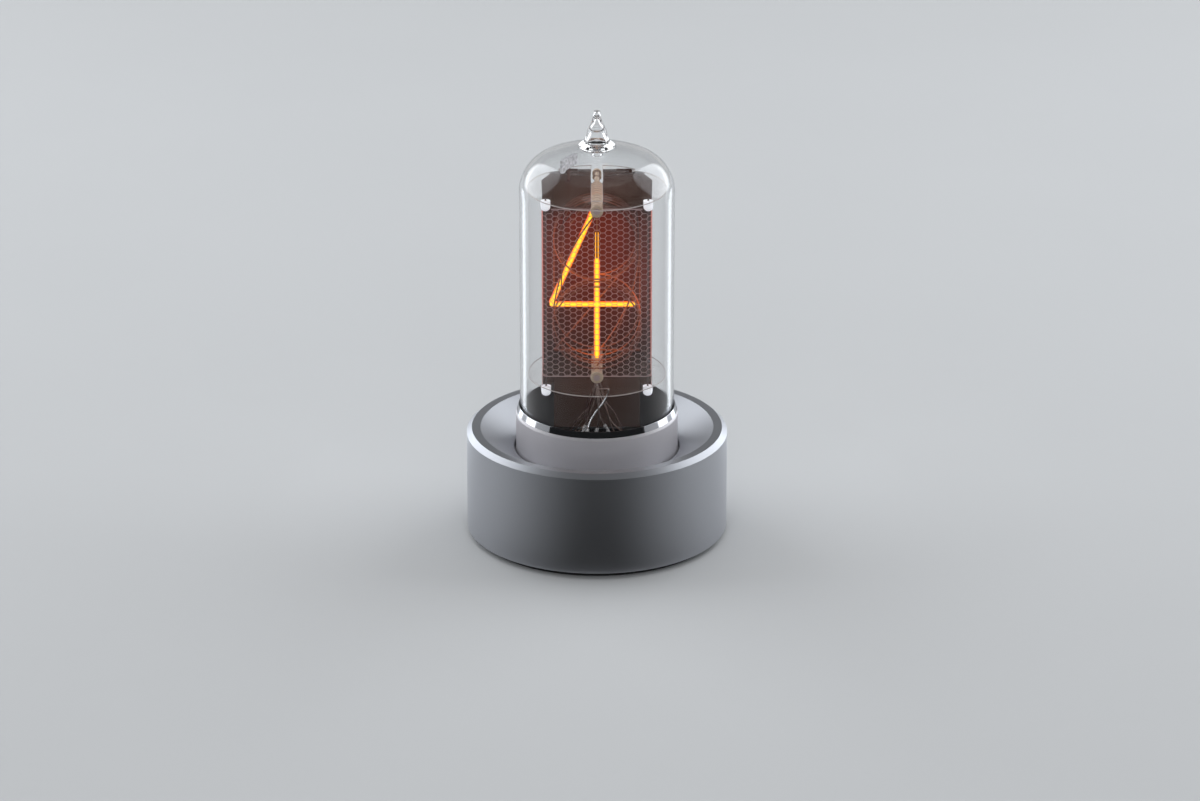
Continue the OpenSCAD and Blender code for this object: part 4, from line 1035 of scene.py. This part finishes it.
NET_PITCH = 2.15 * MM
NET_WEB = 0.14 * MM
NET_SQUASH = 0.87
NET_T = 0.16 * MM
NET_BEND_R = 2 * MM
NET_BORDER = 0.24 * MM
NET_PAST_LOWER_ROD = 0.3 * MM
NET_PAST_UPPER_ROD = 0.35 * MM
NET_TAB_HALF = 0.5 * MM
NET_MERGE = 0.02 * MM
SLIM_AREA = 2e-9
BEAD_R = 1.55 * MM
BEAD_CLEAR = 0.3 * MM
bead_l = mica_low_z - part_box("post_beads")[0].z
net_low = lower_z - NET_PAST_LOWER_ROD
net_high = upper_z + NET_PAST_UPPER_ROD

# The kind of socket for each kind of first value; a material's has none
SOCKET_KINDS = {float: "NodeSocketFloat", int: "NodeSocketInt", tuple: "NodeSocketVector",
                type(None): "NodeSocketMaterial"}


def new_geometry_tree(name, inputs):
    """A geometry tree with inputs {name: value}, where None stands for a material, and Geometry in and out"""
    tree = bpy.data.node_groups.new(name, "GeometryNodeTree")
    tree.interface.new_socket("Geometry", in_out="INPUT", socket_type="NodeSocketGeometry")
    for label, value in inputs.items():
        socket = tree.interface.new_socket(label, in_out="INPUT", socket_type=SOCKET_KINDS[type(value)])
        if value is not None:
            socket.default_value = value
    tree.interface.new_socket("Geometry", in_out="OUTPUT", socket_type="NodeSocketGeometry")
    return tree, *ends_of(tree)


def end_tree(tree, geometry, material, made):
    """Makes the geometry real, gives it its material and sends it out"""
    real = put(tree, "GeometryNodeRealizeInstances", {0: geometry})
    feed(tree, made, Geometry=put(tree, "GeometryNodeSetMaterial", {"Geometry": real, "Material": material}))


def index_of(tree):
    return Number(tree, put(tree, "GeometryNodeInputIndex").outputs[0])


def grow(name, mesh, tree, **values):
    """Runs a geometry tree on a mesh and returns the object, with the named inputs set"""
    thing = add_object(name, mesh)
    step = thing.modifiers.new(tree.name, "NODES")
    step.node_group = tree
    for item in tree.interface.items_tree:
        key = item.name.replace(" ", "_")
        if item.in_out == "INPUT" and key in values:
            step[item.identifier] = values[key]
    return thing


def net_tree():
    """A flat honeycomb of columns and rows with a border, wrapped round two upright bends"""
    tree, given, made = new_geometry_tree("honeycomb net", {
        "Pitch": NET_PITCH, "Web": NET_WEB, "Squash": NET_SQUASH, "Half Width": 0.026, "Half Height": 0.028,
        "Border": NET_BORDER, "Flat Half": 0.015, "Bend Radius": NET_BEND_R, "Front": 0.0145,
        "Middle Height": 0.088, "Metal": None})
    pitch, wide, tall, border = given["Pitch"], given["Half Width"], given["Half Height"], given["Border"]
    bend, flat_half = given["Bend Radius"], given["Flat Half"]

    # One cell for each index, column by column
    step = pitch * (math.sqrt(3) / 2)
    rise = pitch * given["Squash"]
    half_columns = maths(tree, "CEIL", wide / step)
    half_rows = maths(tree, "CEIL", tall / rise) + 1.0
    columns = half_columns * 2.0 + 1.0
    rows = half_rows * 2.0 + 1.0
    index = index_of(tree)
    column = maths(tree, "FLOOR", (index + 0.5) / rows)
    row = index - column * rows
    side = column - half_columns
    odd = maths(tree, "MODULO", abs(side), 2.0)
    spot = vector_of(tree, side * step, rise * (row - half_rows + odd * 0.5))
    points = put(tree, "GeometryNodePoints", {"Count": columns * rows, "Position": spot})
    cell = put(tree, "GeometryNodeMeshCircle", {"Vertices": 6, "Radius": pitch / math.sqrt(3)}, fill_type="NGON")
    cells = put(tree, "GeometryNodeInstanceOnPoints", {
        "Points": points, "Instance": cell, "Scale": vector_of(tree, 1.0, given["Squash"], 1.0)})
    cells = put(tree, "GeometryNodeRealizeInstances", {0: cells})
    cells = put(tree, "GeometryNodeMergeByDistance", {"Geometry": cells, "Distance": NET_MERGE})

    # Each cell is opened, and what lies past the border is pushed back under it
    rims = put(tree, "GeometryNodeExtrudeMesh", {"Mesh": cells, "Offset Scale": 0.0, "Individual": True},
               mode="FACES")
    shrunk = put(tree, "GeometryNodeScaleElements", {
        "Geometry": rims.outputs["Mesh"], "Selection": rims.outputs["Top"], "Scale": 1.0 - given["Web"] / pitch})
    net = put(tree, "GeometryNodeDeleteGeometry", {"Geometry": shrunk, "Selection": rims.outputs["Top"]},
              domain="FACE")
    place = put(tree, "GeometryNodeInputPosition")
    inside_w, inside_h = wide - border, tall - border
    held = vectors(tree, "MINIMUM", place, vector_of(tree, inside_w, inside_h))
    held = vectors(tree, "MAXIMUM", held, vector_of(tree, -inside_w, -inside_h))
    net = put(tree, "GeometryNodeSetPosition", {"Geometry": net, "Position": held})
    slim = maths(tree, "LESS_THAN", put(tree, "GeometryNodeInputMeshFaceArea"), SLIM_AREA)
    parts = [put(tree, "GeometryNodeDeleteGeometry", {"Geometry": net, "Selection": slim}, domain="FACE")]

    # The border
    for sign in (-1, 1):
        strip = put(tree, "GeometryNodeMeshGrid", {
            "Size X": wide * 2.0, "Size Y": border, "Vertices X": 97, "Vertices Y": 2})
        upright = put(tree, "GeometryNodeMeshGrid", {
            "Size X": border, "Size Y": inside_h * 2.0, "Vertices X": 2, "Vertices Y": 2})
        for bar, offset in ((strip, vector_of(tree, y=sign * (tall - border * 0.5))),
                            (upright, vector_of(tree, x=sign * (wide - border * 0.5)))):
            parts.append(put(tree, "GeometryNodeTransform", {"Geometry": bar, "Translation": offset}))
    whole = put(tree, "GeometryNodeJoinGeometry")
    for part in reversed(parts):
        connect(tree, part, whole.inputs[0])

    # The flat sheet is wrapped round the bends: x and z come from the sheet, y from how far past the bend it is
    across = axis_of(tree, place, 0)
    out = abs(across)
    past_flat = out - flat_half
    turn = maths(tree, "MINIMUM", maths(tree, "MAXIMUM", past_flat / bend, 0.0), math.pi / 2)
    past = maths(tree, "MAXIMUM", past_flat - bend * (math.pi / 2), 0.0)
    x = (maths(tree, "MINIMUM", out, flat_half) + bend * maths(tree, "SINE", turn)) * maths(tree, "SIGN", across)
    y = bend * (1.0 - maths(tree, "COSINE", turn)) + past - given["Front"]
    z = axis_of(tree, place, 1) + given["Middle Height"]
    wrapped = put(tree, "GeometryNodeSetPosition", {"Geometry": whole, "Position": vector_of(tree, x, y, z)})
    end_tree(tree, wrapped, given["Metal"], made)
    return tree


def box_mesh(low, high):
    """A plain bar from corner to corner, with narrow bevelled edges"""
    work = bmesh.new()
    bmesh.ops.create_cube(work, size=1)
    size = [h - w for w, h in zip(low, high)]
    centre = [(w + h) / 2 for w, h in zip(low, high)]
    bmesh.ops.scale(work, vec=size, verts=work.verts)
    bmesh.ops.translate(work, vec=centre, verts=work.verts)
    bmesh.ops.bevel(work, geom=work.edges[:], offset=min(size) * 0.2, segments=2, affect="EDGES")
    return finish_shading(as_mesh(work, "bar"))


def make_net():
    """The net, cut back round the upper beads, with a tab on each side down to the lower mica"""
    flat_half = net_half - NET_BEND_R
    half_width = flat_half + NET_BEND_R * math.pi / 2 + net_depth - NET_BEND_R
    thing = grow("anode_net", bpy.data.meshes.new("net_seed"), net_tree(),
                 Half_Width=half_width, Half_Height=(net_high - net_low) / 2, Flat_Half=flat_half,
                 Front=net_front, Middle_Height=(net_low + net_high) / 2, Metal=finishes["net_metal"])
    sheet = thing.modifiers.new("sheet", "SOLIDIFY")
    sheet.thickness = NET_T
    sheet.offset = -1
    bake_modifiers(thing)
    work = bmesh.new()
    work.from_mesh(thing.data)
    middles = {face: face.calc_center_median() for face in work.faces}
    by_bead = [face for face, spot in middles.items() if abs(abs(spot.x) - post_x) < BEAD_R + BEAD_CLEAR
               and spot.z > mica_high_z - bead_l - BEAD_CLEAR]
    bmesh.ops.delete(work, geom=by_bead, context="FACES")
    bmesh.ops.holes_fill(work, edges=work.edges, sides=0)
    work.to_mesh(thing.data)
    work.free()
    tabs = []
    for side in (-1, 1):
        outer, inner = side * net_half, side * (net_half - NET_T)
        tabs.append(box_mesh((min(outer, inner), post_y - NET_TAB_HALF, mica_low_z + mica_t),
                             (max(outer, inner), post_y + NET_TAB_HALF, net_low + NET_BORDER)))
    mesh = joined("anode_net", [thing.data] + tabs)
    mesh.materials.append(finishes["net_metal"])
    bpy.data.objects.remove(thing)
    add_piece("anode_net", mesh, "anode_metal", "tube", "anode_mesh")


make_net()

# Ceramic spacers on the two rods

SPACER_R = 1.8 * MM
ROD_R = 0.6 * MM
RING_GAP = 0.05 * MM
STROKE_T = 0.3 * MM
SLEEVE_R = 0.85 * MM
RING_ROUND = 0.3 * MM
ring_t = (stack_pitch - STROKE_T - 3 * RING_GAP) / 2


def spacer_ring(length, radius=SPACER_R):
    """A ring on a rod, from Z = 0 up, with rounded edges"""
    hole = ROD_R + RING_GAP
    turned_off = min(RING_ROUND, 0.3 * length, 0.3 * (radius - hole))
    outline = softened([
        (hole, 0, 0), (radius, 0, turned_off), (radius, length, turned_off), (hole, length, 0)])
    return lathe("ring", outline, segments=48, margin=0.1 * MM)


def ring_stack_tree():
    """Puts a copy of the ring in each gap between numerals, two to a gap"""
    tree, given, made = new_geometry_tree("ring stack", {
        "Gaps": 9, "Start": (0, 0, 0), "Gap Pitch": 0.0024, "Ring Pitch": 0.001, "Ceramic": None})
    index = index_of(tree)
    gap = maths(tree, "FLOOR", (index + 0.25) / 2.0)
    run = gap * given["Gap Pitch"] + (index - gap * 2.0) * given["Ring Pitch"]
    spot = vectors(tree, "ADD", given["Start"], vector_of(tree, y=run))
    points = put(tree, "GeometryNodePoints", {"Count": given["Gaps"] * 2.0 + 1.0, "Position": spot})
    rings = put(tree, "GeometryNodeInstanceOnPoints", {"Points": points, "Instance": given["Geometry"]})
    end_tree(tree, rings, given["Ceramic"], made)
    return tree


ring_stack = ring_stack_tree()


def make_spacers(name, z, node):
    """The rings between the numerals, the longer ones at the net and the sleeve to the ring at the back"""
    first = stack_front + STROKE_T / 2 + RING_GAP
    ring = moved(spacer_ring(ring_t), along_y(0, 0))
    thing = grow("rings", ring, ring_stack, Start=(0, first, z), Gap_Pitch=stack_pitch, Ring_Pitch=ring_t + RING_GAP,
                 Ceramic=finishes["spacer_ceramic"])
    bake_modifiers(thing)
    low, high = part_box(node)
    disc_y = low.y
    front_y = -net_front + NET_T + RING_GAP
    sleeve_y = stack_back + STROKE_T / 2 + 2 * RING_GAP + ring_t
    disc = spacer_ring(-net_front - RING_GAP - disc_y, high.x)
    front = spacer_ring(stack_front - STROKE_T / 2 + net_front - NET_T - 3 * RING_GAP)
    sleeve = spacer_ring(high.y - sleeve_y, SLEEVE_R)
    mesh = joined(name, [thing.data] + [
        moved(piece, along_y(y, z)) for piece, y in ((disc, disc_y), (front, front_y), (sleeve, sleeve_y))])
    mesh.materials.append(finishes["spacer_ceramic"])
    bpy.data.objects.remove(thing)
    add_piece(name, mesh, "spacer_ceramic", "tube", node)


make_spacers("upper_ring_stack", upper_z, "upper_spacers")
make_spacers("lower_ring_stack", lower_z, "lower_spacers")


def make_bushes():
    """The separate rings at the back ends of the rods, each with a turned rim"""
    low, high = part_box("rear_bushes")
    length = high.y - low.y
    radius = (high.x - low.x) / 2
    hole = ROD_R + RING_GAP
    outline = softened([
        (hole, 0, 0.05 * MM), (radius, 0, 0.2 * MM), (radius, length, 0.2 * MM), (hole, length, 0.05 * MM)])
    ring = lathe("bush", outline, segments=48, margin=0.1 * MM)
    mesh = joined("rear_bush_pair", [moved(ring, along_y(low.y, z)) for z in (lower_z, upper_z)])
    add_piece("rear_bush_pair", mesh, "spacer_ceramic", "tube", "rear_bushes")


make_bushes()

# White beads on the corner posts

# A bead's outside as shares of its radius and of its length, from the mica down
BEAD_SHARES = [(0.97, 0), (1.0, -0.12), (0.985, -0.3), (0.99, -0.5), (0.94, -0.7), (0.8, -0.87), (0.5, -0.985)]


def make_beads():
    """Bullet-shaped glass beads under both micas, slightly waisted where they were pressed"""
    hole = post_r + RING_GAP
    outside = [(r * BEAD_R, z * bead_l) for r, z in eased(BEAD_SHARES, 5)]
    bead = lathe("bead", [(hole, 0)] + outside + [(hole, -bead_l)], segments=48, margin=0.2 * MM)
    mesh = joined("bullet_beads", [
        moved(bead, Matrix.Translation((side * post_x, post_y, z)))
        for side in (-1, 1) for z in (mica_low_z, mica_high_z)])
    add_piece("bullet_beads", mesh, "white_glass", "tube", "post_beads")


make_beads()

# The glow that wraps the lit strokes

GLOW_HALF_W = 0.97 * MM
GLOW_HALF_T = 0.55 * MM
GLOW_SIDES = 20
# How the glow swells at a stroke's end: distances from the end and widths, both as shares of its half width
GLOW_END = [(0, 0.45), (0.25, 0.75), (0.7, 0.97), (1.2, 1.0)]
GLOW_RING_STEP = 1.5
# The strap is dark above the lit stem, and glows along its two edges
STRAP_GLOW_OUT = 0.42 * MM
STRAP_GLOW_HALF_W = 0.15 * MM
STRAP_GLOW_END = 10 * MM
STRAP_GLOW_IN = 0.6 * MM


def glow_stroke(start, end, half_w):
    """A long pillow round one stroke, with an across value from 0 to 1 over its width"""
    run = (end - start).normalized()
    wide = Vector((0, -1, 0)).cross(run)
    deep = Vector((0, 1, 0))
    length = (end - start).length
    swell = GLOW_END[-1][0] * half_w
    count = max(int(length / (GLOW_RING_STEP * half_w)), 2)
    stations = [(k * half_w, share) for k, share in GLOW_END]
    stations += [(swell + (length - 2 * swell) * k / count, 1.0) for k in range(1, count)]
    stations += [(length - k * half_w, share) for k, share in reversed(GLOW_END)]
    work = bmesh.new()
    layer = work.loops.layers.uv.new("across")
    across = {}
    rings = []
    for far, share in stations:
        ring = []
        for a in turns_of(GLOW_SIDES):
            offset = wide * math.cos(a) * half_w * share + deep * math.sin(a) * GLOW_HALF_T * share
            ring.append(work.verts.new(start + run * far + offset))
            across[ring[-1]] = 0.5 + 0.5 * math.cos(a)
        rings.append(ring)
    skin(work, rings)
    for face in work.faces:
        for loop in face.loops:
            loop[layer].uv = (across[loop.vert], 0)
    return finish_shading(as_mesh(work, "glow_stroke"), sharp=80)


def make_glow():
    meshes = [glow_stroke(start, end, GLOW_HALF_W) for start, end in lit_strokes.values()]
    strap_low = lit_strokes["stem"][1]
    strap_high = Vector((0, lit_y, digit_high - STRAP_GLOW_END))
    into_stem = Vector((0, 0, STRAP_GLOW_IN))
    for side in (-1, 1):
        offset = Vector((side * STRAP_GLOW_OUT, 0, 0))
        meshes.append(glow_stroke(strap_low + offset - into_stem, strap_high + offset, STRAP_GLOW_HALF_W))
    add_piece("neon_glow", joined("neon_glow", meshes), "lit_numeral", "tube")


make_glow()

# Leads under the lower mica, some in woven glass sleeves

PIN_CIRCLE_R = 13.5 * MM
PIN_N = 13
LEAD_R = 0.2 * MM
LEAD_SAG = 1.1 * MM
# Each lead's route as shares of the pin circle's radius and of the height from the pins to the lower mica
LEAD_SHARES = [(1, 0), (0.97, 0.12), (0.74, 0.3), (0.42, 0.46), (0.22, 0.62), (0.08, 0.8)]
LEAD_STRAIGHT = 1 * MM
SLEEVE_TUBE_R = 0.5 * MM
SLEEVED = (0, 1, 3, 2)
TWISTED_R = 0.27 * MM
# The twisted wire crosses in front of the others, places in mm
TWISTED_ROUTE = [(-3.4, -11.0, 37.5), (-2.3, -9.5, 41.2), (-0.4, -8.6, 44.4), (2.0, -8.2, 47.6), (3.4, -8.4, 50.6),
                 (3.8, -9.2, 52.8)]
# The anode's two leads rise from their pins and end on the shield
ANODE_PINS = (2, 4)
ANODE_LEAD_RISE = 3 * MM
ANODE_LEAD_X = 8.8 * MM
ANODE_LEAD_OFF = 0.15 * MM
ANODE_LEAD_UP = 0.3 * MM
lead_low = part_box("lead_wires")[0].z
lead_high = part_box("lead_wires")[1].z


def lead_pin(i):
    """The pin of the lead of the numeral in place i of the stack"""
    side = -1 if i % 2 == 0 else 1
    return round((270 + side * (i // 2 + 0.5) * 360 / PIN_N) * PIN_N / 360) % PIN_N


def lead_line(i):
    """From a pin inwards and up like a trumpet, then through the lower mica behind one another"""
    y = stack_front + i * stack_pitch
    a = 2 * math.pi * lead_pin(i) / PIN_N
    line = []
    for k, (out, rise) in enumerate(LEAD_SHARES):
        sag = Vector((math.sin(5.1 * i + 2 * k), math.cos(3.7 * i + k), 0)) * LEAD_SAG * math.sin(math.pi * out)
        place = Vector((out * PIN_CIRCLE_R * math.cos(a), y + out * (PIN_CIRCLE_R * math.sin(a) - y), 0))
        line.append(place + sag + Vector((0, 0, lead_low + rise * (mica_low_z - lead_low))))
    return line + [Vector((0, y, mica_low_z - LEAD_STRAIGHT)), Vector((0, y, lead_high))]


def crinkled(i):
    """The width of a pushed-up sleeve along its length, as a share"""
    return lambda k: 1 + 0.3 * math.sin(k * 2.1 + i) * math.cos(k * 0.9 + 2 * i)


def make_leads():
    """Bent wires from the pins to the middle of the lower mica, sleeves pushed up on some, one wire twisted"""
    lines = [lead_line(i) for i in range(10)]
    front = lines[0]
    front[3:] = [Vector(place) * MM for place in TWISTED_ROUTE] + [front[-2], front[-1]]
    bare = [bent_tube(line, LEAD_R) for line in lines]
    for k in ANODE_PINS:
        a = 2 * math.pi * k / PIN_N
        pin = Vector((PIN_CIRCLE_R * math.cos(a), PIN_CIRCLE_R * math.sin(a), lead_low))
        end = Vector((math.copysign(ANODE_LEAD_X, pin.x), back_y + ANODE_LEAD_OFF,
                      foot("anode_back") + ANODE_LEAD_UP))
        bare.append(bent_tube([pin, pin + Vector((0, 0, ANODE_LEAD_RISE)), pin.lerp(end, 0.6), end], LEAD_R))
    sleeves = []
    for i in SLEEVED:
        route = [lines[i][2], lines[i][3], lines[i][3].lerp(lines[i][4], 0.5)]
        sleeves.append(bent_tube(route, SLEEVE_TUBE_R, 10, crinkled(i)))
    twisted = bent_tube(front[3:-2], TWISTED_R, 10, lambda k: 1 + 0.22 * (-1) ** k)
    add_piece("bent_leads", joined("bent_leads", bare), "lead_metal", "tube", "lead_wires")
    add_piece("twisted_lead", twisted, "lead_metal", "tube", finish=bright_lead)
    add_piece("lead_sleeves", joined("lead_sleeves", sleeves), "spacer_ceramic", "tube", finish=sleeve_finish)


def woven_sleeve():
    """Glass-fibre sleeving: pale, part see-through, with crossing threads"""
    material, tree, shader = new_material("woven sleeve", Roughness=0.35)
    threads = noise(tree, object_place(tree), 2600, 3, 0.7)
    pale = mixed(tree, remap(tree, threads, 0.35, 0.65), rgb(0.16, 0.14, 0.14), rgb(0.70, 0.69, 0.70))
    feed(tree, shader, Base_Color=pale, Alpha=remap(tree, threads, 0.4, 0.6, 0.25, 0.95),
         Normal=bump(tree, threads, 0.8, 0.2 * MM))
    return material


sleeve_finish = woven_sleeve()
bright_lead = drawn_metal("bright lead", rgb(0.80, 0.80, 0.82), 0.25)
make_leads()

# Floor, backdrop and lamps

PALE = rgb(0.55, 0.56, 0.57)
BLACK = rgb(0.01, 0.01, 0.01)
FLOOR_R = 6.0
# The floor turns into the even backdrop from FLOOR_NEAR to FLOOR_FAR
FLOOR_NEAR = 0.5
FLOOR_FAR = 1.6


def make_floor():
    work = bmesh.new()
    bmesh.ops.create_circle(work, cap_ends=True, segments=96, radius=FLOOR_R)
    floor = add_object("floor", as_mesh(work, "floor"))
    material, tree, shader = new_material("pale floor", Roughness=0.9, Specular_IOR_Level=0.1)
    place = object_place(tree)
    feed(tree, shader, Base_Color=mixed(tree, noise(tree, place, 9, 3), rgb(0.54, 0.55, 0.56), rgb(0.56, 0.57, 0.58)))
    far = remap(tree, vectors(tree, "LENGTH", place), FLOOR_NEAR, FLOOR_FAR)
    mix_surface(tree, far, shader, put(tree, "ShaderNodeEmission", {"Color": PALE, "Strength": 1.0}))
    floor.data.materials.append(material)


AMBIENT = 0.4
CEILING = 0.25


def make_world():
    """The backdrop goes on round the whole horizon, and the room gets darker above it"""
    world = bpy.data.worlds.new("studio")
    scene.world = world
    world.use_nodes = True
    tree = world.node_tree
    paths = put(tree, "ShaderNodeLightPath").outputs
    bounced = maths(tree, "MAXIMUM", paths["Is Glossy Ray"], paths["Is Transmission Ray"])
    seen = maths(tree, "MAXIMUM", paths["Is Camera Ray"], bounced)
    height = axis_of(tree, put(tree, "ShaderNodeTexCoord").outputs["Generated"], 2)
    shown = remap(tree, height, 0.1, 0.35, 1.0, CEILING)
    feed(tree, tree.nodes["Background"], Color=PALE, Strength=mix_values(tree, seen, AMBIENT, shown))


COOL_WHITE = (0.94, 0.97, 1)
CLOCK = (0, 0, 0.07)


def add_lamp(name, place, size, power, colour=(1, 1, 1)):
    """A round lamp that shines at the clock"""
    data = bpy.data.lights.new(name, "AREA")
    data.shape = "ELLIPSE"
    data.size, data.size_y = size
    data.energy = power
    data.color = colour
    lamp = add_object(name, data)
    lamp.location = place
    lamp.rotation_euler = (Vector(CLOCK) - Vector(place)).to_track_quat("-Z", "Y").to_euler()
    return lamp


def add_card(name, mesh, shade, strength=0.0, solid=1.0):
    """A card that only reflections show: dark to keep light off, or glowing. solid is the share that doesn't fade."""
    card = add_object(name, mesh)
    material, tree, shader = new_material(name, Roughness=1.0, Emission_Strength=strength, Base_Color=shade,
                                          Emission_Color=shade)
    if solid < 1:
        fade = remap(tree, off_middle(tree), solid / 2, 0.5, 1.0, 0.0, interpolation_type="SMOOTHSTEP")
        feed(tree, shader, Alpha=fade)
    mesh.materials.append(material)
    for ray in ("camera", "diffuse", "transmission", "shadow"):
        setattr(card, f"visible_{ray}", False)


def card_between(name, first, second, turn, spread, steps=24):
    """A bent card round the Z axis between two (radius, height) edges, spread degrees wide about its turn"""
    work = bmesh.new()
    layer = work.loops.layers.uv.new("across")
    angles = [math.radians(turn + spread * (k / steps - 0.5)) for k in range(steps + 1)]
    rows = [[work.verts.new((r * math.cos(a), r * math.sin(a), z)) for a in angles] for r, z in (first, second)]
    for k in range(steps):
        face = work.faces.new((rows[0][k], rows[0][k + 1], rows[1][k + 1], rows[1][k]))
        for loop, step in zip(face.loops, (k, k + 1, k + 1, k)):
            loop[layer].uv = (step / steps, 0)
    return as_mesh(work, name)


STRIP_TURN = 53
STRIP_SPREAD = 20
STRIP_R = 0.12
STRIP_HEIGHTS = (0.002, 0.1)
# The flag over the floor starts just outside the base and lies just above the floor
FLOOR_FLAG_REACH = (0.046, 0.5)
FLOOR_FLAG_Z = 0.0005


def make_lights():
    """Two big round boxes at the sides, one above, a weak one in front, and the cards that shape the reflections"""
    for side, label in ((-1, "left"), (1, "right")):
        add_lamp(f"{label}_box", (side * 0.90, 0.50, 0.55), (1.4, 1.4), 9.8, COOL_WHITE)
        edges = [(STRIP_R, z) for z in STRIP_HEIGHTS]
        strip = card_between(f"{label}_strip", *edges, 90 - side * STRIP_TURN, STRIP_SPREAD)
        add_card(f"{label}_strip", strip, rgb(0.9, 0.95, 1), strength=2.8, solid=0.2)
    top_box = add_lamp("top_box", (0, 0.2, 1.3), (1.5, 1.5), 5)
    fill = add_lamp("front_fill", (0, -1.3, 0.9), (1.2, 0.8), 5)
    for lamp in (top_box, fill):
        lamp.visible_glossy = False
    add_card("front_flag", card_between("front_flag", (1.1, 0.12), (1.1, 0.7), -90, 140), BLACK)
    edges = [(r, FLOOR_FLAG_Z) for r in FLOOR_FLAG_REACH]
    add_card("floor_flag", card_between("floor_flag", *edges, -90, 160, 48), BLACK, solid=0.08)


make_floor()
make_world()
make_lights()
